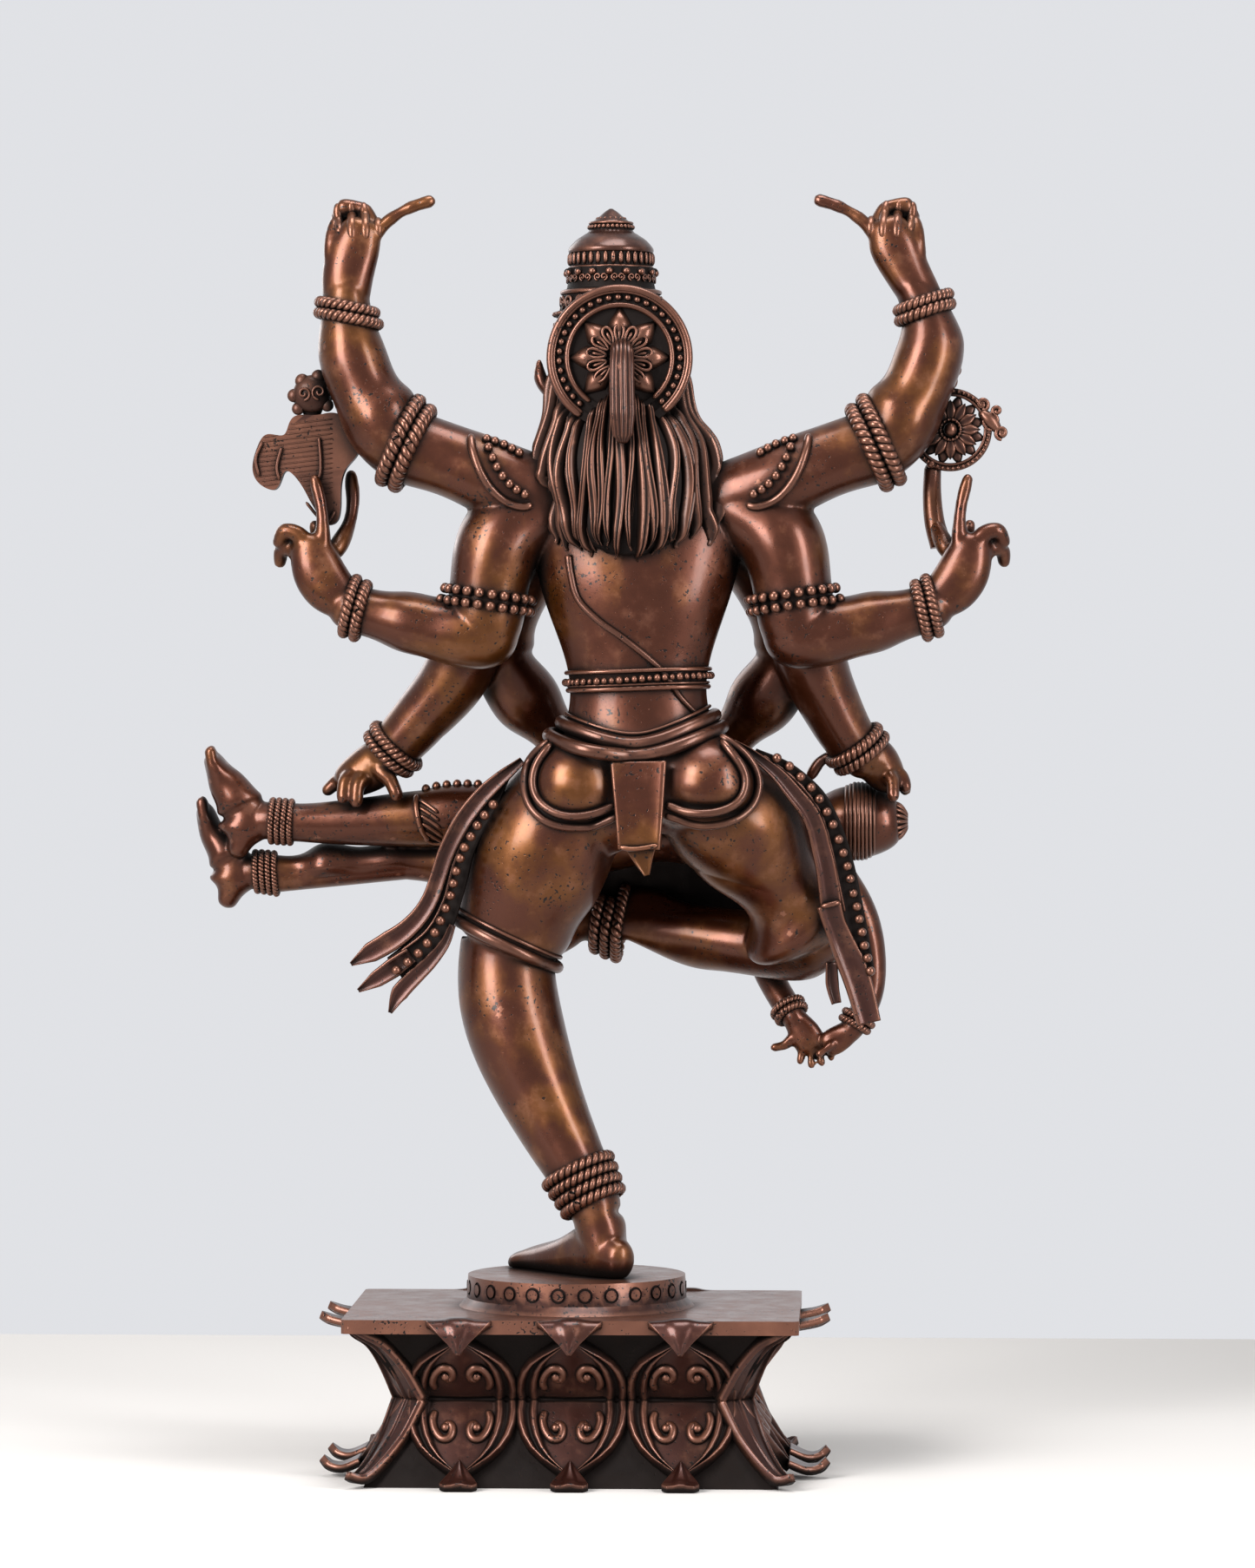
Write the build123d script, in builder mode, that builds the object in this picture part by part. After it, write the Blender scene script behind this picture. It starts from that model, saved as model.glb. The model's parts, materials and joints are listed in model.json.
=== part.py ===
"""A cast dancing figure with eight arms, a lion's head and a tall crown.

It stands on one leg on a lotus pedestal and holds a lying demon across its lap.
Millimetres. The origin is the middle of the pedestal's underside. +Z is up, +Y is the way the
figure faces, and +X is towards its right hand.
"""
import os
from math import cos, hypot, pi, radians, sin

from build123d import *

os.makedirs("parts", exist_ok=True)

# ---------------------------------------------------------------- driving dimensions: pedestal
BASE_LENGTH = 100.0  # footprint of the plinth along X
BASE_WIDTH = 66.0  # footprint of the plinth along Y
WAIST_LENGTH = 80.0  # the plinth narrows to this between its two rows of petals
WAIST_WIDTH = 47.0
SLAB_LENGTH = 110.0
SLAB_WIDTH = 75.0
SLAB_THICKNESS = 3.4
WAIST_HEIGHT = 20.6  # from the underside to the line where the petal rows meet
UPPER_ROW_HEIGHT = 17.0  # from that line to the slab
PLINTH_WALL = 4.5
PLINTH_ROOF = 5.0  # web under the slab, which the stud goes through
DAIS_RADIUS = 26.7  # at the top; it flares below
DAIS_FLARE = 2.2
DAIS_EASE = 0.3  # the little by which it widens above the flare
DAIS_HEIGHT = 7.7
DAIS_MARKS = 26  # ring marks punched round the dais
MARK_RADIUS = 1.9
MARK_DEPTH = 0.5

PETAL_HALF_WIDTH = 13.4
PETAL_THICKNESS = 2.6
PETAL_RELIEF = 0.7  # height of the raised middle
PETAL_OVERHANG = 12.0  # how far a petal's curled tip stands out past the end of its wall
LIP_HALF_WIDTH = 6.0
LIP_HALF_THICKNESS = 0.8
LONG_SIDE_PETALS = 3
SHORT_SIDE_PETALS = 2

STUD_RADIUS = 3.0  # M6 stud cast into the standing foot
STUD_CLEARANCE = 0.3
STUD_EMBED = 6.0  # length held in the foot
NUT_ACROSS_FLATS = 10.0
NUT_THICKNESS = 5.0
WASHER_RADIUS = 6.0
WASHER_THICKNESS = 1.2

# ---------------------------------------------------------------- driving dimensions: figure
AXIS_X = 15.8  # plane that the shoulders and arms are mirrored about
STAND_X, STAND_Y = 4.6, -3.8  # middle of the standing foot, above the stud
FIT = 0.05  # gap of a spigot in its socket, before brazing
SEAT = 0.05  # gap under a bead, before brazing

ROPE_RADIUS = 1.35  # one strand of a twisted bangle
BEAD_RADIUS = 1.25
CORD_RADIUS = 1.75  # girdle
THREAD_RADIUS = 0.95
LIMB_SPIGOT_RADIUS = 2.6

SLAB_TOP = WAIST_HEIGHT + UPPER_ROW_HEIGHT + SLAB_THICKNESS
STAND_Z = SLAB_TOP + DAIS_HEIGHT  # the figure's own heights are measured from here


# ---------------------------------------------------------------- helpers
def at(x, y, z):
    """A point of the figure, with z above the dais."""
    return Vector(x, y, STAND_Z + z)


def arm_point(side, outward, y, z):
    """A point given by its distance from the figure's axis; side is -1 for its left, 1 for its right."""
    return (AXIS_X + side * outward, y, z)


def arm_stations(side, stations):
    return [(*arm_point(side, *s[:3]), *s[3:]) for s in stations]


def shifted(stations, dx, dy, dz, side=1):
    """Stations given as offsets from a point, mirrored in X where side is -1."""
    return [(dx + side * s[0], dy + s[1], dz + s[2], *s[3:]) for s in stations]


def section(plane, half_width, half_depth, flat=False):
    with BuildSketch(plane) as outline:
        if flat:
            Rectangle(2 * half_width, 2 * half_depth)
        elif abs(half_width - half_depth) < 0.01:
            Circle(half_width)
        else:
            Ellipse(half_width, half_depth)
    return outline.sketch


DOME_STEPS = (38, 64, 82)  # degrees round a rounded end


def steady_axis(points):
    """The axis that a run of points is never nearly parallel to, so that its sections don't twist."""
    runs = [(b - a).normalized() for a, b in zip(points, points[1:])]

    def nearness(axis):
        return max(abs(run.dot(Vector(*axis))) for run in runs)

    return min(((0, 1, 0), (0, 0, 1), (1, 0, 0)), key=nearness)


def sections(stations, depth_axis=None, round_start=True, round_end=True, flat=False):
    """Cross-sections along a limb. A station is x, y, z, half width and, if not round, half depth."""
    points = [at(*s[:3]) for s in stations]
    depth_axis = depth_axis or steady_axis(points)
    rows = []
    for i, station in enumerate(stations):
        along = (points[min(i + 1, len(points) - 1)] - points[max(i - 1, 0)]).normalized()
        rows.append((points[i], along, station[3], station[4] if len(station) > 4 else station[3]))

    def dome(row, sign):
        point, along, width, depth = row
        rise = min(width, depth)
        steps = [(sign * rise * sin(radians(step)), cos(radians(step))) for step in DOME_STEPS]
        return [(point + along * reach, along, width * share, depth * share) for reach, share in steps]

    if round_start:
        rows = dome(rows[0], -1)[::-1] + rows
    if round_end:
        rows = rows + dome(rows[-1], 1)
    outlines = []
    for point, along, width, depth in rows:
        plane = Plane(origin=point, x_dir=Vector(*depth_axis).cross(along), z_dir=along)
        outlines.append(section(plane, width, depth, flat))
    return outlines


def save(builder, name):
    """Writes one sub-part."""
    builder.part.label = name
    export_step(builder.part, f"parts/{name}.step")


def along(stations, place):
    """Plane across a limb, and its radius, at a place counted in stations from its start."""
    i = min(int(place), len(stations) - 2)
    share = place - i
    a, b = stations[i], stations[i + 1]
    point = at(*(a[k] + (b[k] - a[k]) * share for k in range(3)))
    direction = at(*stations[min(i + 2, len(stations) - 1)][:3]) - at(*a[:3])
    if share < 0.5:
        direction = at(*b[:3]) - at(*stations[max(i - 1, 0)][:3])
    return Plane(origin=point, z_dir=direction), a[3] + (b[3] - a[3]) * share


FAR = 200.0  # further away than any surface of the figure
SKIN_GAP = 0.15  # gap under a cord, before brazing


def first_hit(builders, start, direction):
    """The first point of any of the sub-parts that a ray meets."""
    hits = [hit[0] for b in builders for hit in b.part.find_intersection_points(Axis(start, direction))]
    return min(hits, key=lambda p: (p - start).length)


def on_skin(builders, x, z, facing=-1, lift=0.0):
    """The surface point at x, z on the side that faces -Y or +Y, moved out by lift."""
    point = first_hit(builders, at(x, facing * FAR, z), (0, -facing, 0))
    return (point.X, point.Y + facing * lift, point.Z - STAND_Z)


def round_skin(builders, plane, angle, lift=0.0):
    """The skin's point at an angle round a plane's normal, moved out by lift from where a ray meets it."""
    outward = plane.x_dir * cos(angle) + plane.y_dir * sin(angle)
    point = first_hit(builders, plane.origin + outward * FAR, -outward) + outward * lift
    return (point.X, point.Y, point.Z - STAND_Z)


def clear(*builders):
    """Cuts away what neighbouring sub-parts already fill."""
    for builder in builders:
        add(builder.part, mode=Mode.SUBTRACT)


def keep_main(builder):
    """Drops the slivers that a cut leaves beside the main solid."""
    for sliver in builder.part.solids().sort_by(SortBy.VOLUME)[:-1]:
        add(sliver, mode=Mode.SUBTRACT)


def limb(stations, **shape):
    """Adds a limb, finger or cord through its stations."""
    loft(sections(stations, **shape))


def cord(points, radius):
    """Adds a cord through points of the figure."""
    with BuildLine() as path:
        Spline(*[at(*p) for p in points])
    with BuildSketch(Plane(origin=path.line @ 0, z_dir=path.line % 0)) as outline:
        Circle(radius)
    sweep(outline.sketch, path=path.line)


def beads(points, radius):
    """Adds a ball at each point of the figure."""
    with Locations(*[at(*p) for p in points]):
        Sphere(radius)


def bead_ring(builders, plane, count, radius, start=0.0, end=2 * pi):
    """Adds a row of balls that rest round a limb."""
    angles = [start + (end - start) * i / count for i in range(count)]
    beads([round_skin(builders, plane, angle, radius + SEAT) for angle in angles], radius)


SKIN_RAYS = 8  # directions in which a limb's girth is felt
GIRTH_LIMIT = 1.7  # surfaces further out than this share of the limb's own radius belong to another limb


def girth(builders, ring, radius):
    """How far a limb's skin reaches out from a ring's middle."""
    reach = radius
    for i in range(SKIN_RAYS):
        turn = 2 * pi * i / SKIN_RAYS
        outward = ring.x_dir * cos(turn) + ring.y_dir * sin(turn)
        for builder in builders:
            for point, _ in builder.part.find_intersection_points(Axis(ring.origin, outward)):
                distance = (point - ring.origin).length
                if distance < GIRTH_LIMIT * radius:
                    reach = max(reach, distance)
    return reach


def rope_rings(builders, stations, place, strands, rope_radius=ROPE_RADIUS):
    """Adds rings laid side by side round a limb, each just clear of its skin."""
    plane, radius = along(stations, place)
    pitch = 2 * rope_radius + SEAT
    for strand in range(strands):
        ring = plane.offset((strand - (strands - 1) / 2) * pitch)
        edges = [ring.offset(-rope_radius / 2), ring.offset(rope_radius / 2)]
        reach = max(girth(builders, edge, radius) for edge in edges)
        with Locations(ring.location):
            Torus(reach + SEAT + rope_radius, rope_radius)


# ---------------------------------------------------------------- pedestal
UPPER_LENGTH = SLAB_LENGTH - 2 * PLINTH_WALL
UPPER_WIDTH = SLAB_WIDTH - 2 * PLINTH_WALL
ROOF_Z = WAIST_HEIGHT + UPPER_ROW_HEIGHT


def level(length, width, height):
    with BuildSketch(Plane.XY.offset(height)) as outline:
        Rectangle(length, width)
    return outline.sketch


def stud_hole(top, depth):
    with Locations((STAND_X, STAND_Y, top - depth / 2)):
        Cylinder(STUD_RADIUS + STUD_CLEARANCE, depth, mode=Mode.SUBTRACT)


with BuildPart() as plinth:
    waist = level(WAIST_LENGTH, WAIST_WIDTH, WAIST_HEIGHT)
    loft([level(BASE_LENGTH, BASE_WIDTH, 0), waist], ruled=True)
    loft([waist, level(UPPER_LENGTH, UPPER_WIDTH, ROOF_Z)], ruled=True)
    inner = 2 * PLINTH_WALL
    hollow_top = ROOF_Z - PLINTH_ROOF
    inner_base = level(BASE_LENGTH - inner, BASE_WIDTH - inner, 0)
    inner_waist = level(WAIST_LENGTH - inner, WAIST_WIDTH - inner, WAIST_HEIGHT)
    loft([inner_base, inner_waist], ruled=True, mode=Mode.SUBTRACT)
    loft([inner_waist, level(WAIST_LENGTH, WAIST_WIDTH, hollow_top)], ruled=True, mode=Mode.SUBTRACT)
    stud_hole(ROOF_Z + 1, PLINTH_ROOF + 2)
save(plinth, "plinth_shell")

with BuildPart() as slab:
    with BuildSketch(Plane.XY.offset(ROOF_Z)):
        Rectangle(SLAB_LENGTH, SLAB_WIDTH)
    extrude(amount=SLAB_THICKNESS)
    chamfer(slab.edges().filter_by(Axis.Z), length=0.8)
    stud_hole(SLAB_TOP + 1, SLAB_THICKNESS + 2)
save(slab, "top_slab")

with BuildPart() as dais:
    with BuildSketch(Plane.XZ):
        with BuildLine():
            Polyline(
                (0, SLAB_TOP), (DAIS_RADIUS + DAIS_FLARE, SLAB_TOP),
                (DAIS_RADIUS + DAIS_EASE, SLAB_TOP + 0.28 * DAIS_HEIGHT),
                (DAIS_RADIUS, STAND_Z), (0, STAND_Z), close=True,
            )
        make_face()
    revolve(axis=Axis.Z)
    with PolarLocations(DAIS_RADIUS, DAIS_MARKS):
        with Locations(Location((0.9, 0, SLAB_TOP + 0.62 * DAIS_HEIGHT), (0, 90, 0))):
            Cylinder(MARK_RADIUS, 2 * MARK_DEPTH + 1.2, mode=Mode.SUBTRACT)
    with PolarLocations(DAIS_RADIUS, DAIS_MARKS):
        with Locations(Location((-0.3, 0, SLAB_TOP + 0.62 * DAIS_HEIGHT), (0, 90, 0))):
            Cylinder(MARK_RADIUS - 0.6, 1.2)
    stud_hole(STAND_Z + 1, DAIS_HEIGHT + 2)
save(dais, "round_dais")


def petal_outline(share, height):
    """A lotus petal's outline with its root on the X axis, at a share of its full width and height."""
    wide = PETAL_HALF_WIDTH * share
    tall = height * share
    with BuildSketch() as outline:
        with BuildLine():
            Spline((-0.9 * wide, 0), (-wide, 0.28 * tall), (-0.62 * wide, 0.72 * tall), (0, tall))
            Spline((0.9 * wide, 0), (wide, 0.28 * tall), (0.62 * wide, 0.72 * tall), (0, tall))
            Line((-0.9 * wide, 0), (0.9 * wide, 0))
        make_face()
    return outline.sketch


LIP_REACH = (-0.05, 0.42, 0.8, 1.0)  # shares of the overhang at which the lip's height is given
LIP_WIDTHS = (1.0, 0.85, 0.5, 0.12)


def petal(run, rise, lip_heights):
    """A petal lying on its wall, with a raised middle and a lip that curls out from its tip.

    Run and rise are the wall's, away from the waist, and the lip's heights are above the wall's end.
    """
    height = hypot(run, rise)
    outward = Vector(0, run, abs(rise)) / height
    upward = Vector(0, rise, -run if rise > 0 else run) / height
    path = [
        Vector(0, height, 0) + outward * (share * PETAL_OVERHANG) + upward * lift
        for share, lift in zip(LIP_REACH, lip_heights)
    ]
    tall = height - PETAL_THICKNESS / 2
    with BuildPart() as piece:
        for share, depth in [(1.0, PETAL_THICKNESS), (0.8, PETAL_THICKNESS + PETAL_RELIEF)]:
            with BuildSketch():
                add(petal_outline(share, tall))
            extrude(amount=depth, dir=(0, 0, 1))
        blades = []
        for i, point in enumerate(path):
            along = path[min(i + 1, len(path) - 1)] - path[max(i - 1, 0)]
            blade = Plane(origin=point, x_dir=(1, 0, 0), z_dir=along)
            share = LIP_WIDTHS[i]
            blades.append(section(blade, LIP_HALF_WIDTH * share, LIP_HALF_THICKNESS * (0.5 + share / 2)))
        loft(blades)
    return piece.part


def petal_rows(upper):
    """Each wall's petals: the wall's run and rise, and a plane at each root, with Y away from the waist."""
    far_length, far_width = (UPPER_LENGTH, UPPER_WIDTH) if upper else (BASE_LENGTH, BASE_WIDTH)
    rise = UPPER_ROW_HEIGHT if upper else -WAIST_HEIGHT
    rows = []
    for turn, near, far, across, count in [
        (0, WAIST_WIDTH, far_width, WAIST_LENGTH, LONG_SIDE_PETALS),
        (90, WAIST_LENGTH, far_length, WAIST_WIDTH, SHORT_SIDE_PETALS),
    ]:
        run = (far - near) / 2
        pitch = across / count
        planes = []
        for side in (turn, turn + 180):
            outward = Vector(0, -1, 0).rotate(Axis.Z, side)
            sideways = Vector(1, 0, 0).rotate(Axis.Z, side)
            for i in range(count):
                shift = sideways * ((i - (count - 1) / 2) * pitch)
                root = outward * (near / 2) + shift + Vector(0, 0, WAIST_HEIGHT)
                slope = outward * run + Vector(0, 0, rise)
                normal = outward * abs(rise) + Vector(0, 0, -run if upper else run)
                planes.append(Plane(origin=root, x_dir=slope.cross(normal), z_dir=normal))
        rows.append((run, rise, planes))
    return rows


UPPER_LIP = (-1.3, -1.1, -0.4, 1.8)  # heights above the underside of the slab
LOWER_LIP = (1.6, 1.2, 2.2, 4.8)  # heights above the ground

with BuildPart() as upper_petals:
    for run, rise, planes in petal_rows(upper=True):
        leaf = petal(run, rise, UPPER_LIP)
        for plane in planes:
            add(leaf.moved(plane.location))
    clear(slab, plinth)

with BuildPart() as lower_petals:
    for run, rise, planes in petal_rows(upper=False):
        leaf = petal(run, rise, LOWER_LIP)
        for plane in planes:
            add(leaf.moved(plane.location))
    clear(plinth, upper_petals)
    with Locations((0, 0, -5)):
        Box(2 * BASE_LENGTH, 2 * BASE_WIDTH, 10, mode=Mode.SUBTRACT)

# share of the way, half width, depth
CORNER_LEAF = [
    (0.0, 2.2, 1.2), (0.35, 4.6, 1.6), (0.7, 4.2, 1.4), (1.0, 0.8, 0.6),
]
CORNER_REACH = 6.0  # how far a corner leaf's tip stands out past the plinth's corner
CORNER_SINK = 0.6  # its root is let this far into the plinth's edge
CORNER_DROP = 0.4  # how far an upper tip's middle is below the slab
CORNER_CLEARANCE = 1.4  # height of a lower tip's middle above the ground

with BuildPart() as corner_leaves:
    for x_side in (-1, 1):
        for y_side in (-1, 1):
            root_x, root_y = WAIST_LENGTH / 2 - CORNER_SINK, WAIST_WIDTH / 2 - CORNER_SINK
            root = Vector(x_side * root_x, y_side * root_y, WAIST_HEIGHT)
            for far_length, far_width, end in [
                (UPPER_LENGTH, UPPER_WIDTH, ROOF_Z - CORNER_DROP),
                (BASE_LENGTH, BASE_WIDTH, CORNER_CLEARANCE),
            ]:
                tip_x, tip_y = far_length / 2 + CORNER_REACH, far_width / 2 + CORNER_REACH
                way = Vector(x_side * tip_x, y_side * tip_y, end) - root
                across = Vector(-y_side, x_side, 0)
                blades = []
                for share, wide, deep in CORNER_LEAF:
                    blade = Plane(origin=root + way * share, x_dir=across, z_dir=way)
                    blades.append(section(blade, wide, deep))
                loft(blades)
    clear(plinth, slab, upper_petals, lower_petals)
    for speck in corner_leaves.part.solids().sort_by(SortBy.VOLUME)[:-4]:
        add(speck, mode=Mode.SUBTRACT)

for builder, name in [
    (upper_petals, "upper_petals"),
    (lower_petals, "lower_petals"),
    (corner_leaves, "corner_leaves"),
]:
    save(builder, name)

with BuildPart() as stud:
    stud_low = hollow_top - WASHER_THICKNESS - NUT_THICKNESS - 3
    stud_high = STAND_Z + STUD_EMBED
    with Locations((STAND_X, STAND_Y, (stud_low + stud_high) / 2)):
        Cylinder(STUD_RADIUS, stud_high - stud_low)
save(stud, "foot_stud")

with BuildPart() as washer:
    with Locations((STAND_X, STAND_Y, hollow_top - WASHER_THICKNESS / 2)):
        Cylinder(WASHER_RADIUS, WASHER_THICKNESS)
        Cylinder(STUD_RADIUS + FIT, WASHER_THICKNESS, mode=Mode.SUBTRACT)
save(washer, "stud_washer")

with BuildPart() as nut:
    with BuildSketch(Plane.XY.offset(hollow_top - WASHER_THICKNESS - NUT_THICKNESS)):
        with Locations((STAND_X, STAND_Y)):
            RegularPolygon(NUT_ACROSS_FLATS / 2, 6, major_radius=False)
            Circle(STUD_RADIUS + FIT, mode=Mode.SUBTRACT)
    extrude(amount=NUT_THICKNESS)
save(nut, "stud_nut")

# ---------------------------------------------------------------- torso, hips and legs
# Stations are x, y, z above the dais, half width, half depth.
HIPS_TOP = 133.0
TORSO = [
    (15.4, 0, HIPS_TOP, 18.6, 12.6), (15.2, 0, 139, 17.2, 11.6), (15.1, 0, 147, 17.0, 11.4),
    (15.0, 0, 155, 19.0, 12.2), (14.9, 0, 163, 21.8, 13.4), (14.8, 0.4, 171, 24.2, 14.2),
    (15.0, 0.8, 179, 25.8, 14.4), (15.2, 1, 187, 26.0, 13.8), (15.2, 1, 193, 23.0, 12.0),
    (14.8, 1.4, 198, 15.5, 9.6), (13.8, 2, 203, 9.8, 8.8), (12.4, 2.6, 209, 8.8, 8.6),
    (10.8, 3.2, 216, 8.6, 8.6),
]
HIPS = [
    (15.5, 0.5, 100, 8.0, 9.5), (15.8, 0.5, 106, 20.0, 13.0), (16.4, 0, 113, 26.5, 15.0),
    (16.6, 0, 120, 27.5, 15.4), (16.2, 0, 127, 24.0, 14.2), (15.4, 0, HIPS_TOP, 18.6, 12.6),
]
STANDING_THIGH = [
    (-1.4, 0, 117, 15.0, 14.4), (-5.4, 0.4, 109, 17.0, 15.4), (-9.6, 1.4, 100.5, 17.2, 15.2),
    (-13.8, 3.4, 91, 15.2, 14.0), (-16.8, 5.2, 81.5, 12.9, 12.6),
]
STANDING_SHIN = [
    (-16.8, 5.2, 81.5, 12.0, 11.6), (-17.6, 5.2, 74.5, 12.0, 11.8), (-15.6, 3.4, 61.5, 12.2, 12.0),
    (-9.2, 0.8, 44.5, 10.4, 10.2), (-2.4, -2.2, 31, 8.5, 8.4), (3.0, -4.8, 21, 7.0, 7.2),
    (5.8, -5.8, 14.5, 6.4, 7.0),
]
RAISED_THIGH = [
    (27, 0, 119, 14.0, 13.0), (34, 2.4, 112, 17.5, 14.4), (42.6, 7, 103.5, 16.4, 13.4),
    (52.2, 13.4, 91.8, 12.2, 11.4), (58.4, 18.0, 83.6, 9.6, 9.4),
]
RAISED_SHIN = [
    (58.4, 18.0, 83.6, 8.8, 8.8), (55.5, 22.4, 80.2, 8.8, 8.8), (48, 26, 79.6, 8.4, 8.2),
    (36, 29.4, 80.8, 7.6, 7.8), (22, 32, 82.8, 6.2, 6.6), (8, 33.4, 85, 5.0, 5.2),
    (1, 33.6, 86, 4.8, 5.0),
]
BUTTOCK_RADIUS = 12.4
BUTTOCKS = [(0.6, -6.4, 120.5), (32.4, -6.4, 120.5)]

BODY_SPIGOT_RADIUS = 6.0
BODY_SPIGOT_LENGTH = 9.0

# Each arm's spigot in the chest: distance from the axis, y and z, where it starts and ends.
SPIGOTS = {
    "raised": ((31, -0.6, 193.5), (19.5, 0.4, 190.5)),
    "attribute": ((35, -1.8, 180), (20, -0.6, 181.5)),
    "lower": ((29, 8.5, 180), (18, 5.4, 184)),
    "front": ((25, 14, 176), (15.5, 8.5, 177)),
}
BODY_SPIGOT = ((15.4, 0, HIPS_TOP + 1), (15.4, 0, HIPS_TOP - BODY_SPIGOT_LENGTH))


def peg(start, end, radius):
    """Adds a round spigot from one point of the figure to another."""
    low, high = at(*start), at(*end)
    with Locations(Plane(origin=(low + high) / 2, z_dir=high - low).location):
        Cylinder(radius, (high - low).length)


def socket(start, end, radius):
    """Cuts the hole that a spigot fits in."""
    low, high = at(*start), at(*end)
    past = (high - low).normalized() * FIT
    with Locations(Plane(origin=(low + high + past) / 2, z_dir=high - low).location):
        Cylinder(radius + FIT, (high - low).length + FIT, mode=Mode.SUBTRACT)


with BuildPart() as torso_form:
    limb(TORSO, depth_axis=(0, 1, 0), round_start=False, round_end=False)

with BuildPart() as hips:
    limb(HIPS, depth_axis=(0, 1, 0), round_start=False, round_end=False)
    with Locations(*[at(*p) for p in BUTTOCKS]):
        Sphere(BUTTOCK_RADIUS)
    clear(torso_form)
    socket(*BODY_SPIGOT, BODY_SPIGOT_RADIUS)

with BuildPart() as standing_thigh:
    limb(STANDING_THIGH, depth_axis=(0, 1, 0), round_end=False)
    clear(hips, torso_form)
    keep_main(standing_thigh)

with BuildPart() as standing_shin:
    limb(STANDING_SHIN, depth_axis=(0, 1, 0), round_start=False, round_end=False)
    clear(standing_thigh)

with BuildPart() as raised_thigh:
    limb(RAISED_THIGH, depth_axis=(0, 1, 0), round_end=False)
    clear(hips, torso_form)
    keep_main(raised_thigh)

with BuildPart() as raised_shin:
    limb(RAISED_SHIN, round_end=False)
    clear(raised_thigh)
    keep_main(raised_shin)

# ---------------------------------------------------------------- feet
# A foot runs from its heel to the roots of its toes: x, y, z, half width, half height.
STANDING_FOOT = [
    (10.2, -11.4, 4.6, 4.4, 5.6), (8.0, -8.6, 5.4, 5.6, 7.0), (4.6, -3.8, 5.6, 6.2, 7.6),
    (0.2, 2.4, 4.2, 6.8, 6.0), (-4.8, 9.4, 3.0, 7.6, 4.4), (-9.4, 15.8, 2.2, 8.0, 3.2),
    (-11.6, 19.0, 1.9, 7.4, 2.6),
]
ANKLE = [(5.8, -5.8, 14.5, 6.4, 7.0), (6.6, -6.4, 9.5, 6.0, 6.8), (7.2, -6.9, 4.5, 5.4, 6.6)]
FOOT_AHEAD = Vector(-0.58, 0.815, 0)  # the way the standing foot points
FOOT_INWARD = Vector(0.815, 0.58, 0)  # towards its great toe
# inward, length, radius
TOES = [(5.6, 5.2, 2.2), (1.8, 4.6, 1.75), (-1.2, 3.6, 1.6), (-3.9, 2.4, 1.5), (-6.3, 0.8, 1.4)]
TOE_SINK = 0.15  # how far the toes press below the dais's top, which then trims them

with BuildPart() as standing_foot:
    limb(STANDING_FOOT, depth_axis=(0, 0, 1), round_end=False)
    limb(ANKLE, depth_axis=(0, 1, 0), round_start=False)
    toe_root = Vector(*STANDING_FOOT[-1][:3])
    for inward, length, radius in TOES:
        start = toe_root + FOOT_INWARD * inward - FOOT_AHEAD * 2
        end = start + FOOT_AHEAD * (length + 1)
        height = radius - TOE_SINK
        limb([(start.X, start.Y, height, radius), (end.X, end.Y, height, radius)], depth_axis=(0, 0, 1))
    clear(standing_shin)
    with Locations(at(0, 0, -10)):
        Box(100, 100, 20, mode=Mode.SUBTRACT)
    keep_main(standing_foot)
    with Locations(at(STAND_X, STAND_Y, STUD_EMBED / 2)):
        Cylinder(STUD_RADIUS, STUD_EMBED, mode=Mode.SUBTRACT)

RAISED_FOOT = [
    (1, 33.6, 86, 4.8, 5.0), (-5, 34.2, 85.6, 4.8, 6.0), (-12, 35, 86, 5.2, 5.2), (-20, 36, 87, 5.6, 3.8),
    (-26, 36.6, 88, 5.6, 2.6),
]
# The raised foot's toes: distance aside, length and radius.
RAISED_TOES = [(-4.2, 7.4, 1.6), (-1.6, 6.6, 1.3), (0.8, 5.8, 1.2), (3, 4.8, 1.1), (4.8, 3.6, 1.0)]
RAISED_TOE_ROOT = (-25, 36.5, 87.9)

with BuildPart() as raised_foot:
    limb(RAISED_FOOT, depth_axis=(0, 0, 1), round_start=False, round_end=False)
    limb([(-4, 34.2, 83, 4.4), (-6.5, 34.4, 80.6, 3.8)], depth_axis=(0, 1, 0))
    for aside, length, radius in RAISED_TOES:
        x, y, z = RAISED_TOE_ROOT[0], RAISED_TOE_ROOT[1] + aside, RAISED_TOE_ROOT[2]
        limb([(x, y, z, radius), (x - length, y + 0.4, z + 0.8, radius)], depth_axis=(0, 0, 1))
    clear(raised_shin)

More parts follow.
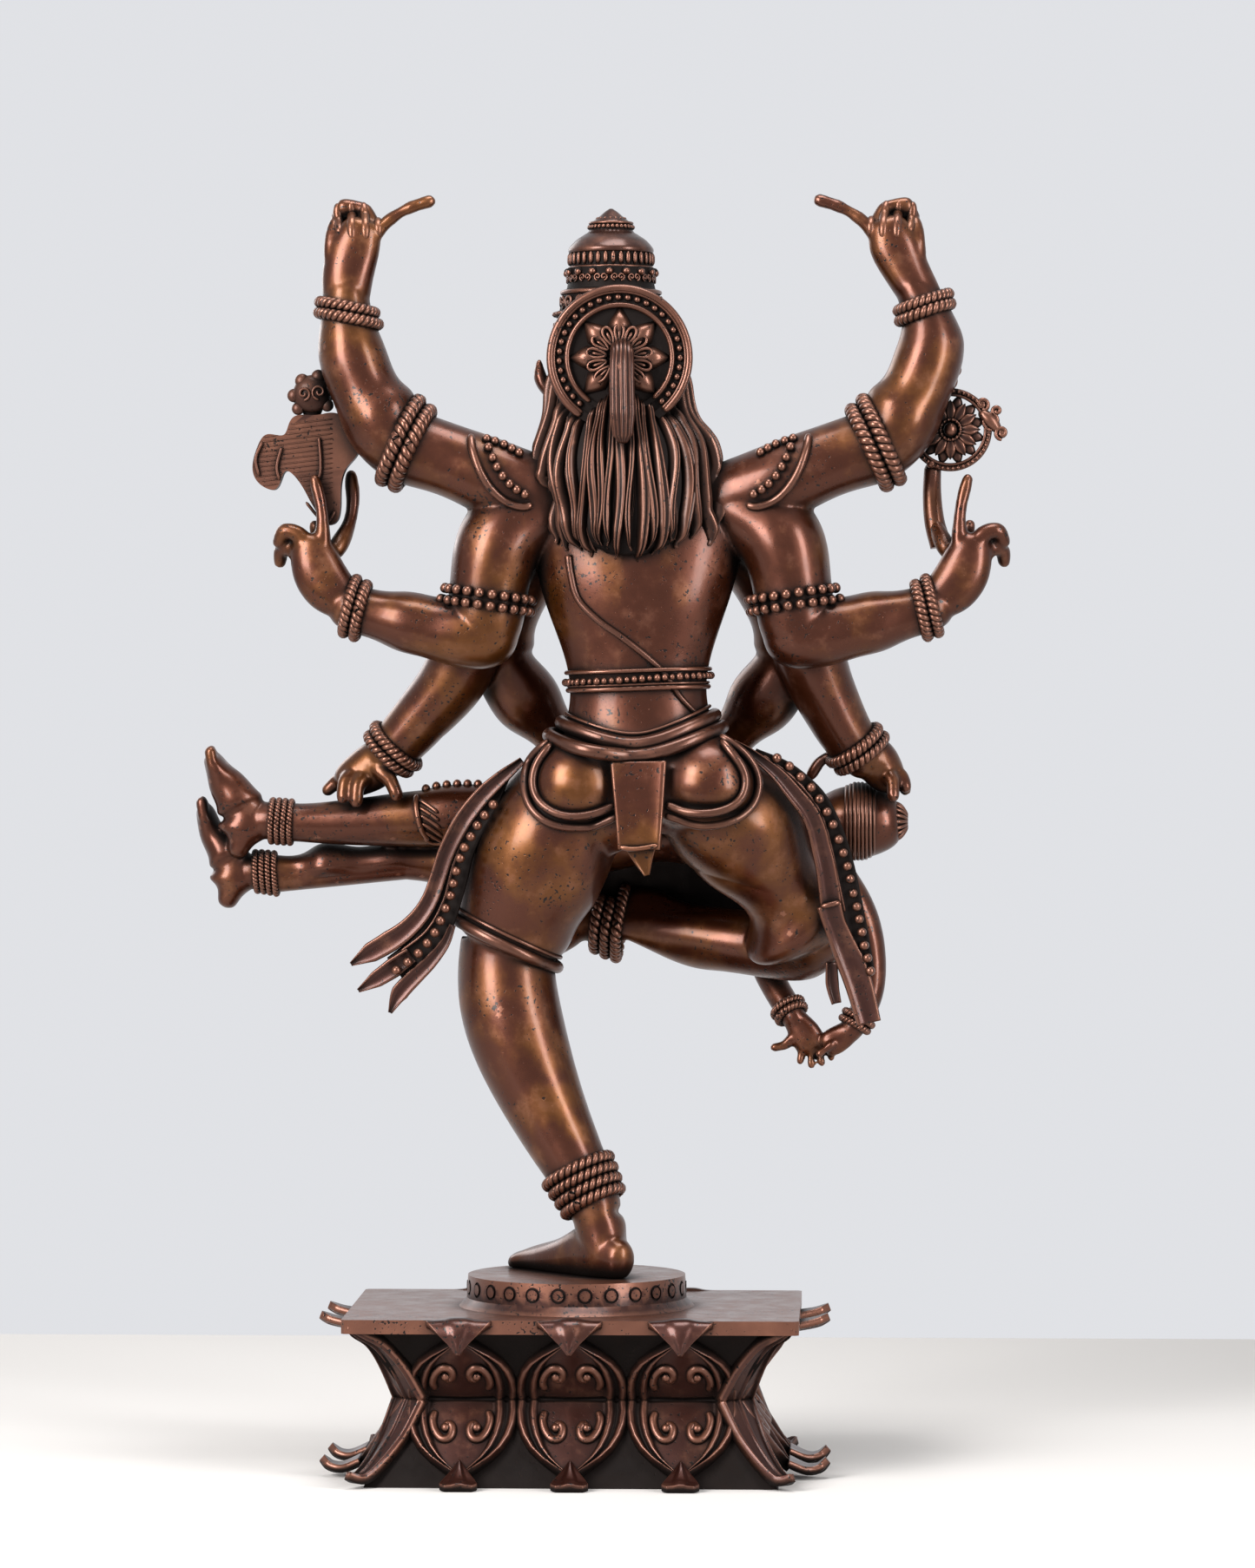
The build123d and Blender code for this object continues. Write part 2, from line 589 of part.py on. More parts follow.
# ---------------------------------------------------------------- arms
# Stations are the distance from the figure's axis, y, z above the dais, radius, and depth if oval.
# Each hand is a palm and its fingers, thumb last.
ARMS = {
    "raised": {
        "limbs": [[
            (19, 0, 190, 8.5), (29.4, -2, 193, 9.5), (44.4, -3, 199, 9.0), (55, -3, 202.5, 9.2),
            (61.6, -3, 207, 9.4), (66, -3, 214.5, 9.0), (69.5, -3, 222, 8.4), (72, -3, 233, 6.8),
            (72.2, -3, 240, 5.6),
        ]],
        "palm": [
            (72.3, -3, 238, 5.4, 4.6), (71.8, -3, 245, 6.3, 4.4), (70.4, -3, 251, 6.3, 4.0),
            (68.6, -3, 256, 5.2, 3.4),
        ],
        "fingers": [
            [
                (66, -3, 254.5, 2.0), (62.5, -3, 258, 1.6), (58.5, -3, 260.8, 1.35),
                (54.8, -3, 262.4, 1.5), (51.8, -3, 263.3, 1.6),
            ],
            [
                (65.6, -1.5, 257.2, 1.9), (67.2, -1, 260.6, 1.8), (70.4, -0.6, 262.2, 1.7),
                (74, -0.2, 261.4, 1.6), (75, 0.4, 259.4, 1.4),
            ],
            [(67.4, 1, 256.8, 1.8), (69.4, 2, 259.6, 1.7), (72.6, 3, 260, 1.6), (75, 3.4, 257.6, 1.4)],
            [(69.4, 2, 254, 1.8), (71.6, 4.4, 256.6, 1.6), (74, 5.4, 255, 1.4)],
            [
                (74.4, -3, 246, 2.2), (75.8, -3.4, 250, 1.9), (75.8, -2.6, 254.6, 1.7),
                (75.2, -1.2, 258, 1.5),
            ],
        ],
    },
    "attribute": {
        "limbs": [
            [
                (24, -1, 188.3, 9.0), (31.5, -2, 183.6, 10.2), (35.8, -3, 176.6, 10.3),
                (37.5, -3, 166, 9.6), (38.2, -3, 160, 9.2),
            ],
            [
                (38.6, -2.7, 157.4, 8.7), (46, -3, 158, 8.4), (52.9, -3, 159.3, 7.6),
                (62, -3, 161.4, 6.6), (71, -3, 163.6, 5.6),
            ],
        ],
        "palm": [
            (70.6, -2.7, 164, 4.4, 4.0), (75.8, -2.9, 168, 6.2, 4.4), (79.2, -3, 173, 6.4, 4.2),
            (81, -3, 178.4, 5.2, 3.6),
        ],
        "fingers": [
            [(78.1, -3.6, 178, 2.0), (78, -3.6, 184, 1.7), (78.6, -3, 189.6, 1.5), (80, -2.6, 195.2, 1.3)],
            [(75, 0.5, 178, 2.2), (72.4, 4.6, 184, 1.8), (71.4, 6.4, 190, 1.7), (71.8, 6.4, 196.4, 1.5)],
            [
                (81.6, -3.4, 178.6, 2.1), (84.4, -3.8, 182, 2.1), (87.4, -3.4, 182.4, 2.0),
                (88.8, -2, 180, 1.7),
            ],
            [(83, -2, 175.4, 2.1), (86, -1.2, 178.4, 2.1), (88.6, 0.6, 177.6, 1.9), (89, 2, 175.2, 1.6)],
            [(76, 0, 170, 2.2), (77.4, 3.6, 175, 1.9), (79.4, 5, 180, 1.7), (80.6, 4.4, 184, 1.5)],
        ],
    },
    "lower_left": {
        "limbs": [[
            (22, 5, 186, 8.6), (31, 10, 180, 9.4), (38.5, 13, 167, 9.0), (43.5, 14, 154, 8.8),
            (48, 15.4, 145, 8.2), (54, 17, 138, 7.4), (59.4, 18.2, 132, 6.7), (64, 19.2, 127.2, 5.8),
        ]],
        "palm": [
            (63.8, 19.2, 127.4, 5.2, 4.8), (68.6, 20.2, 123.8, 5.8, 5.0), (72.4, 20.8, 121.6, 5.0, 4.6),
        ],
        "fingers": [
            [(72, 18.2, 122.6, 2.2), (74.2, 15.8, 120.4, 1.9), (74.6, 14.6, 117, 1.7)],
            [(69.6, 17, 122, 2.2), (71, 14.6, 119.4, 1.9), (71.2, 13.8, 116, 1.7)],
            [(73.4, 22, 121.8, 2.1), (77, 22.4, 120.4, 1.9), (79, 22.4, 118.6, 1.6)],
            [(71, 24.8, 122, 2.1), (72.6, 27.6, 119.6, 1.9), (73, 28.8, 116, 1.7)],
            [(66, 16.2, 124, 2.2), (62.8, 14.8, 121, 1.9), (61.2, 14, 117.6, 1.7)],
        ],
    },
    "lower_right": {
        "limbs": [[
            (22, 5, 186, 8.6), (31, 10, 180, 9.4), (37.6, 13, 167, 9.0), (41, 14, 154, 8.8),
            (43.6, 15.4, 146, 8.2), (47.2, 17, 138.4, 7.4), (50.8, 18.4, 132, 6.7),
            (54.2, 19.6, 127.4, 5.8),
        ]],
        "palm": [(54, 19.6, 128, 5.2, 4.8), (58, 21, 125.6, 5.6, 5.0), (60, 22, 122.8, 5.0, 4.6)],
        "fingers": [
            [(60.2, 19.4, 122.8, 2.1), (61.8, 16.6, 120.8, 1.8), (62, 15, 117.4, 1.6)],
            [(62.2, 21, 123, 2.1), (64.4, 19.6, 121.4, 1.8), (65, 18.4, 119.6, 1.6)],
            [(62.2, 24, 123, 2.1), (64.4, 25.6, 121.2, 1.8), (65, 26.6, 118.8, 1.6)],
            [(59.6, 26, 123, 2.0), (60.6, 29, 121.2, 1.8), (60.8, 31, 118, 1.6)],
            [
                (54.6, 21, 125.4, 1.9), (48, 21.6, 127.2, 1.5), (44, 22, 125.8, 1.4),
                (41.6, 22.4, 122.4, 1.4),
            ],
        ],
    },
    "front": {
        "limbs": [[
            (18, 8, 183, 8.2), (27, 15.4, 176, 8.8), (34, 19.6, 165, 8.8), (36, 21.4, 154, 8.6),
            (33, 23.4, 146, 8.2), (25.6, 26.6, 136.4, 7.0), (18, 30, 127.6, 5.4),
        ]],
        "palm": [(19.6, 29.2, 130.2, 4.2, 3.8), (15, 31, 124, 5.8, 4.2), (12, 31.6, 121, 5.4, 3.8)],
        "fingers": [
            [(10.6, 28, 120.6, 1.9), (8.2, 26.6, 119.8, 1.7), (6.6, 26, 117, 1.4)],
            [(9.2, 30.2, 120.4, 1.9), (6.2, 30, 119.6, 1.7), (4.6, 30, 116.8, 1.4)],
            [(9.2, 33, 120.4, 1.9), (6.2, 33.6, 119.4, 1.7), (4.6, 34, 116.6, 1.4)],
            [(10.8, 35.4, 120.4, 1.8), (8.4, 37, 118.8, 1.6), (7.2, 38, 116, 1.3)],
            [(15, 27.4, 123, 2.0), (13.6, 24.8, 120.6, 1.8), (13, 23.8, 117.6, 1.5)],
        ],
    },
}


def arm(side, plan, filled):
    """Adds one arm with its hand, cut back to the sub-parts that it grows from."""
    for stations in plan["limbs"]:
        limb(arm_stations(side, stations), depth_axis=(0, 1, 0))
    limb(arm_stations(side, plan["palm"]), depth_axis=(0, 1, 0))
    for stations in plan["fingers"]:
        limb(arm_stations(side, stations))
    clear(*filled)


arms = {}
for side, hand_side in [(-1, "left"), (1, "right")]:
    inner = [torso_form]
    for kind in ("raised", "attribute", "lower", "front"):
        plan = ARMS.get(f"{kind}_{hand_side}") or ARMS[kind]
        with BuildPart() as one_arm:
            arm(side, plan, inner)
            keep_main(one_arm)
            peg(arm_point(side, *SPIGOTS[kind][0]), arm_point(side, *SPIGOTS[kind][1]), LIMB_SPIGOT_RADIUS)
        arms[kind, hand_side] = one_arm
        inner.append(one_arm)

with BuildPart() as torso:
    add(torso_form.part)
    for start, end in SPIGOTS.values():
        for side in (-1, 1):
            socket(arm_point(side, *start), arm_point(side, *end), LIMB_SPIGOT_RADIUS)
    peg(*BODY_SPIGOT, BODY_SPIGOT_RADIUS)

for builder, name in [
    (torso, "torso"), (hips, "hips"), (standing_thigh, "standing_thigh"), (standing_shin, "standing_shin"),
    (raised_thigh, "raised_thigh"), (raised_shin, "raised_shin"), (standing_foot, "standing_foot"),
    (raised_foot, "raised_foot"),
]:
    save(builder, name)
for (kind, hand_side), one_arm in arms.items():
    save(one_arm, f"{kind}_arm_{hand_side}")


raised_arms = [arms["raised", "left"], arms["raised", "right"]]
attribute_arms = [arms["attribute", "left"], arms["attribute", "right"]]
lower_arms = [arms["lower", "left"], arms["lower", "right"]]
front_arms = [arms["front", "left"], arms["front", "right"]]

# ---------------------------------------------------------------- head, crown and hair
CROWN_X, CROWN_Y = 8.3, 4.0
HEAD = [
    (10.2, -1, 221.6, 9, 8.2), (9.8, 1, 221.4, 11.6, 10.8), (9.2, 4, 221, 13.2, 12.2),
    (8.2, 9, 219.5, 12.8, 11.6), (7.4, 13, 217.6, 10.2, 9.4), (6.6, 17, 216, 8.2, 7.2),
    (6.2, 19.5, 215.4, 6.8, 5.6),
]
EAR = [
    (13.0, 3, 214.6, 1.2, 2.0), (16.4, 3.2, 217.4, 1.7, 2.6), (18.4, 3.4, 221, 1.6, 2.2),
    (18.6, 3.4, 224.2, 0.8, 1.0),
]
HEAD_X = 9.2  # middle of the head, which the ears are mirrored about
BROW = [(-4.6, 14.6, 222.4, 1.7), (-2.4, 17, 223.6, 1.9), (0, 17.6, 222.6, 1.7)]
NOSE = [(0, 15, 222, 2.4, 2.0), (0, 20, 219.6, 2.6, 2.2), (0, 24.2, 217.6, 3.2, 2.0)]
JAW = [(0, 10, 211.4, 6.4, 3.4), (0, 16, 210.6, 5.6, 3.0), (0, 21, 210.8, 4.2, 2.2)]

with BuildPart() as head:
    limb(HEAD, depth_axis=(0, 0, 1))
    limb(shifted(JAW, 6.6, 0, 0), depth_axis=(0, 0, 1))
    limb(shifted(NOSE, 6.3, 0, 0), depth_axis=(0, 0, 1))
    for side in (-1, 1):
        limb(shifted(EAR, HEAD_X, 0, 0, side), depth_axis=(0, 1, 0))
        limb(shifted(BROW, 7.2, 0, 0, side))
    clear(torso_form)
    keep_main(head)

# The crown's outline: radius and height above the dais.
CROWN = [
    (13.2, 226.5), (14.0, 228), (13.8, 232), (13.0, 233.6), (13.0, 234.8), (13.9, 235.4), (13.9, 236.3),
    (12.4, 237), (11.9, 240.2), (11.8, 240.8), (11.8, 241.6), (10.9, 242.2), (10.5, 244), (10.5, 247.2),
    (10.0, 247.8), (10.0, 250.8), (10.3, 251.2), (10.2, 252.2), (8.6, 254), (5.4, 256.2), (5.3, 257.4),
    (4.4, 257.8), (4.3, 258.6), (3.2, 259), (1.6, 260.8),
]
CROWN_TIP = 261.4
CROWN_STUDS = 16
CROWN_FLUTES = 30
with BuildPart() as crown:
    with BuildSketch(Plane.XZ):
        with BuildLine():
            Polyline((0, CROWN[0][1]), *CROWN, (0, CROWN_TIP), close=True)
        make_face()
    revolve(axis=Axis.Z)
    with PolarLocations(10.6, CROWN_STUDS):
        with Locations((0, 0, 246.3)):
            Sphere(1.0)
    with PolarLocations(10.1, CROWN_FLUTES):
        with Locations((0, 0, 249.3)):
            Cylinder(0.35, 3.0, mode=Mode.SUBTRACT)
crown_at_rest = crown.part.moved(Location((CROWN_X, CROWN_Y, STAND_Z)))
with BuildPart() as crown:
    add(crown_at_rest)
    clear(head)
    keep_main(crown)

HALO_X, HALO_Z = 11.1, 224.4
HALO_Y = -12.9  # the disc's outer face
HALO_RADIUS = 17.6
HALO_RIM = 2.0
HALO_THICKNESS = 2.8
HALO_RELIEF = 1.0  # how far its rims stand out
HALO_HUB = 5.6
RAY_THICKNESS = 1.5
HALO_INNER_RIM = (12.3, 13.4)
HALO_OPEN = (238, 308)  # degrees between which the ring is left out, over the hair
HALO_RAYS = 8
HALO_PLANE = Plane(origin=at(HALO_X, HALO_Y, HALO_Z), x_dir=(1, 0, 0), z_dir=(0, -1, 0))

with BuildPart() as halo_ring:
    gap_low, gap_high = (Vector(24, 0).rotate(Axis.Z, angle) for angle in HALO_OPEN)
    for outer, inner, depth in [
        (HALO_RADIUS, HALO_HUB, -HALO_THICKNESS), (HALO_RADIUS, HALO_RADIUS - HALO_RIM, HALO_RELIEF),
        (HALO_INNER_RIM[1], HALO_INNER_RIM[0], HALO_RELIEF),
    ]:
        with BuildSketch(HALO_PLANE):
            Circle(outer)
            Circle(inner, mode=Mode.SUBTRACT)
            with BuildLine():
                Polyline((0, -7), (gap_low.X, gap_low.Y), (gap_high.X, gap_high.Y), close=True)
            make_face(mode=Mode.SUBTRACT)
        extrude(amount=depth)

with BuildPart() as halo_rays:
    with BuildSketch(HALO_PLANE):
        Circle(HALO_HUB)
        with PolarLocations(0, HALO_RAYS):
            Polygon((4.6, 1.0), (8.7, 2.1), (12.2, 0), (8.7, -2.1), (4.6, -1.0), align=None)
    extrude(amount=RAY_THICKNESS)
    with BuildSketch(HALO_PLANE):
        Circle(HALO_HUB - FIT)
    extrude(amount=-HALO_THICKNESS)

TASSEL = [
    (11.8, -14.45, 226.6, 2.4, 2.4), (11.8, -16.4, 226.6, 2.9, 2.6), (11.9, -19, 225, 3.1, 2.7),
    (12.0, -20.6, 220.5, 3.1, 2.6), (12.1, -20.8, 214, 3.0, 2.5), (12.2, -20.6, 208, 2.6, 2.2),
    (12.3, -20.2, 204.2, 1.5, 1.4),
]
with BuildPart() as hair_tassel:
    limb(TASSEL, depth_axis=(1, 0, 0), round_start=False)

MANE_FRONT = 3.0  # the hair stops here, behind the face
# The hair: height above the dais, middle x, y, half width, half depth.
MANE = [
    (226.4, 10.4, -1.5, 14.2, 8.5), (221, 10.4, -2, 15.4, 9.4), (214, 10.6, -2.4, 16.8, 10.4),
    (206, 10.9, -3, 19.2, 12.2), (199.5, 11.9, -3.4, 21.6, 14.0), (191, 13.6, -3.4, 20.4, 14.6),
    (184, 13.4, -3.2, 19.0, 14.8), (179.5, 13.2, -3.2, 15.0, 14.4), (176.4, 13.2, -3.2, 8.0, 13.6),
]
with BuildPart() as mane:
    stations = [(x, y, height, wide, deep) for height, x, y, wide, deep in MANE]
    limb(stations, depth_axis=(0, 1, 0), round_start=False, round_end=False)
    with Locations(at(MANE[0][1], MANE_FRONT + 30, 200)):
        Box(80, 60, 80, mode=Mode.SUBTRACT)
    clear(torso_form, head, *raised_arms, halo_ring, halo_rays)
    keep_main(mane)

for builder, name in [
    (head, "head"), (crown, "crown"), (halo_ring, "halo_ring"), (halo_rays, "halo_rays"),
    (hair_tassel, "hair_tassel"), (mane, "mane"),
]:
    save(builder, name)


# ---------------------------------------------------------------- jewellery
with BuildPart() as anklets:
    rope_rings([standing_shin], STANDING_SHIN, 4.9, strands=4)
    rope_rings([raised_shin], RAISED_SHIN, 5.2, strands=3)
save(anklets, "anklets")

with BuildPart() as knee_band:
    rope_rings([standing_thigh], STANDING_THIGH, 3.8, strands=2, rope_radius=1.4)
save(knee_band, "knee_band")

SIDES = [(-1, "left"), (1, "right")]

# Where each pair of rings sits, counted in stations along its limb.
WRISTS = {"raised": 6.95, "attribute": 3.9, "lower": 6.7, "front": 5.75}
with BuildPart() as bangles:
    for kind, place in WRISTS.items():
        for side, hand_side in SIDES:
            plan = ARMS.get(f"{kind}_{hand_side}") or ARMS[kind]
            rope_rings([arms[kind, hand_side]], arm_stations(side, plan["limbs"][-1]), place, strands=2)
save(bangles, "bangles")

ELBOW_PLACE = 3.35
with BuildPart() as elbow_ropes:
    for side, hand_side in SIDES:
        upper_arm = arm_stations(side, ARMS["raised"]["limbs"][0])
        rope_rings([arms["raised", hand_side]], upper_arm, ELBOW_PLACE, strands=2, rope_radius=1.7)
save(elbow_ropes, "elbow_ropes")

ARMLET_PLACE = 3.05
ARMLET_BEADS = 22
with BuildPart() as armlets:
    for side, hand_side in SIDES:
        plane, _ = along(arm_stations(side, ARMS["attribute"]["limbs"][0]), ARMLET_PLACE)
        for step in (-1.4, 1.4):
            bead_ring([arms["attribute", hand_side]], plane.offset(step), ARMLET_BEADS, BEAD_RADIUS)
save(armlets, "beaded_armlets")

# A loop of cord and beads on each raised arm: distance from the axis, height above the dais.
EPAULETTE_CORD = [
    (41.2, 206.4), (40.6, 203.5), (39.2, 199.4), (37.8, 196.1), (36, 193.1), (33.7, 190.8), (31.1, 189.2),
    (28.6, 188.2),
]
EPAULETTE_BEADS = [
    (37.4, 205), (36.8, 202.8), (35.7, 200.2), (34.6, 197.9), (33.2, 195.7), (31.5, 193.8), (29.8, 192.4),
    (27.8, 191.3),
]
EPAULETTE_TOP = [(35.4, 204.4), (33.2, 203.6), (31.2, 202.6), (29.4, 201.6)]
with BuildPart() as epaulettes:
    for side, hand_side in SIDES:
        sleeve = [arms["raised", hand_side]]

        def on_sleeve(route, lift):
            return [on_skin(sleeve, AXIS_X + side * u, z, lift=lift) for u, z in route]

        cord(on_sleeve(EPAULETTE_CORD, SEAT + 1.1), 0.9)
        beads(on_sleeve(EPAULETTE_BEADS + EPAULETTE_TOP, SEAT + 1.05), 0.95)
save(epaulettes, "epaulettes")

# ---------------------------------------------------------------- girdle, swags, thread and bands
GIRDLE_X = 15.4
RING_STEPS = 20
RING_GAP = radians(4)  # a ring's ends meet in front, this far apart
GIRDLE_LEVELS = (133.4, 129.8)
GIRDLE_DIP = 3.0  # the girdle is this much higher at the sides and lower at the back


def waist_cord(level, dip, radius):
    """Adds a cord round the waist, clear of the skin, with its ends meeting in front."""
    turns = [pi / 2 + RING_GAP + (2 * pi - 2 * RING_GAP) * i / RING_STEPS for i in range(RING_STEPS + 1)]
    reaches = []
    for turn in turns:
        middle = at(GIRDLE_X, 0, level + dip * cos(2 * turn))
        x, y, z = round_skin([torso_form, hips], Plane(middle), turn)
        reaches.append((at(x, y, z) - middle).length + radius + 2 * SKIN_GAP)
    points = []
    for i, turn in enumerate(turns):
        near = reaches[max(i - 1, 0) : i + 2]
        reach = 0.5 * max(near) + 0.5 * max(reaches[i], sum(near) / len(near))
        x, y = GIRDLE_X + reach * cos(turn), reach * sin(turn)
        points.append((x, y, level + dip * cos(2 * turn), radius))
    limb(points, depth_axis=(0, 0, 1), round_start=False, round_end=False)


with BuildPart() as hip_girdle:
    for level in GIRDLE_LEVELS:
        waist_cord(level, GIRDLE_DIP, CORD_RADIUS)

BAND_LEVEL = 146.0
BAND_BEADS = 36
with BuildPart() as belly_band:
    for step in (-1.7, 1.7):
        waist_cord(BAND_LEVEL + step, 0.5, 0.6)
    bead_ring([torso_form], Plane(at(GIRDLE_X, 0, BAND_LEVEL)), BAND_BEADS, 0.9)

SWAG_INNER = [(-6.2, 8.0), (-9, 4.8), (-9.8, 0.5), (-8.3, -3.7), (-5, -6.6), (0.7, -7.1), (7.0, -5.8)]
SWAG_OUTER = [
    (-10.6, 5.4), (-12.8, 0.2), (-11.7, -5.6), (-8.3, -9.2), (-2.6, -10.4), (3.1, -10.1), (7.6, -9.0),
]
SWAG_RADIUS = 1.25
SWAG_LIFT = SWAG_RADIUS + 0.4  # it spans the round of the hip between its points
buttock_skin = [hips, standing_thigh, raised_thigh]
with BuildPart() as hip_swags:
    for side, (x, _, z) in zip((1, -1), BUTTOCKS):
        for swag in (SWAG_INNER, SWAG_OUTER):
            route = [on_skin(buttock_skin, x + side * dx, z + dz, lift=SWAG_LIFT) for dx, dz in swag]
            cord(route, SWAG_RADIUS)

TAIL_FLAP = [
    (15.6, -16.9, 124.6, 6.0, 1.2), (15.7, -17, 117, 5.4, 1.2), (15.8, -17.1, 111, 5.0, 1.2),
    (16, -17.2, 105.2, 4.7, 1.2),
]
TAIL_POINT = [(17, -15.9, 108.6, 4.0, 0.9), (17.6, -15.4, 103, 3.0, 0.9), (18.4, -14.8, 98, 0.9, 0.8)]
with BuildPart() as loincloth_tail:
    for flap in (TAIL_FLAP, TAIL_POINT):
        limb(flap, depth_axis=(0, 1, 0), round_start=False, round_end=False, flat=True)

APRON = [
    (14.6, 17.4, 124.6, 5.4, 1.2), (14.4, 17.6, 118, 6.0, 1.3), (14.0, 17.6, 111, 6.4, 1.3),
    (13.6, 17.4, 105, 6.8, 1.2),
]
with BuildPart() as front_apron:
    limb(APRON, depth_axis=(0, 1, 0), round_start=False, round_end=False, flat=True)
    clear(standing_thigh, raised_thigh)
    keep_main(front_apron)

THREAD = [(-1.4, 176.4), (-0.8, 172), (0.9, 166), (5.5, 161), (11.9, 156.3), (17.5, 151.8), (22.2, 148.6)]
with BuildPart() as sacred_thread:
    cord([on_skin([torso_form], x, z, lift=THREAD_RADIUS + SKIN_GAP) for x, z in THREAD], THREAD_RADIUS)

NECKLACE = [(2, 197), (2.6, 191), (6, 186), (12.4, 183.4), (19, 185.4), (23, 190.4), (24, 196)]
NECKLACE_RADIUS = 1.1
with BuildPart() as necklace:
    lift = NECKLACE_RADIUS + SKIN_GAP
    cord([on_skin([torso_form], x, z, facing=1, lift=lift) for x, z in NECKLACE], NECKLACE_RADIUS)

for builder, name in [
    (hip_girdle, "hip_girdle"), (belly_band, "belly_band"), (hip_swags, "hip_swags"),
    (loincloth_tail, "loincloth_tail"),
    (front_apron, "front_apron"), (sacred_thread, "sacred_thread"), (necklace, "necklace"),
]:
    save(builder, name)


# ---------------------------------------------------------------- what the attribute hands hold
CONCH_Y = 2.4  # middle of its thickness
CONCH_THICKNESS = 4.0
CONCH_OUTLINE = [
    (-67.9, 211.3), (-70.8, 209.2), (-72.1, 206.4), (-76.2, 206.5), (-78.6, 203.5), (-79.4, 196.1),
    (-77, 193.5), (-74.2, 193.0), (-71.7, 197.4), (-68, 194.3), (-65.6, 190), (-63.8, 186.8),
    (-62, 184.3), (-59.6, 184.6), (-58.3, 187.5), (-58.1, 193), (-56.8, 198), (-54, 201.5),
    (-53.2, 204.5), (-55.5, 209.5), (-60.5, 211.8), (-63.5, 211.3),
]
CONCH_KNOB = (-65.3, 215.6)

with BuildPart() as conch:
    front = at(0, CONCH_Y + CONCH_THICKNESS / 2, 0)
    with BuildSketch(Plane(origin=front, x_dir=(1, 0, 0), z_dir=(0, -1, 0))):
        with BuildLine():
            Spline(*CONCH_OUTLINE, periodic=True)
        make_face()
    extrude(amount=CONCH_THICKNESS)
    x, z = CONCH_KNOB
    knob = [(0, 0, -3.2, 2.6, 1.8), (0, 0, 0, 5.2, 3.2), (0.4, 0, 1.6, 4.4, 2.8)]
    limb(shifted(knob, x, CONCH_Y, z), depth_axis=(0, 1, 0))
    clear(raised_arms[0], attribute_arms[0])
    keep_main(conch)

DISCUS_X, DISCUS_Z = 91.6, 207.4
DISCUS_Y = 2.2
DISCUS_RADIUS = 9.7
DISCUS_THICKNESS = 2.6
DISCUS_HUB = 2.6
FLAMES = [
    [(91.4, 215.4, 3.2), (91.6, 219, 2.6), (91.8, 221.6, 2.0)],
    [(98.6, 211, 2.8), (101.6, 208.8, 3.4), (104, 207, 2.6)],
]

with BuildPart() as discus:
    middle = at(DISCUS_X, DISCUS_Y + DISCUS_THICKNESS / 2, DISCUS_Z)
    face = Plane(origin=middle, x_dir=(1, 0, 0), z_dir=(0, -1, 0))
    with BuildSketch(face):
        Circle(DISCUS_RADIUS)
    extrude(amount=DISCUS_THICKNESS)
    with Locations(face.offset(DISCUS_THICKNESS).location):
        Sphere(DISCUS_HUB)
    for flame in FLAMES:
        limb([(x, DISCUS_Y, z, wide, 1.6) for x, z, wide in flame], depth_axis=(0, 1, 0))
    clear(raised_arms[1], attribute_arms[1])
    keep_main(discus)

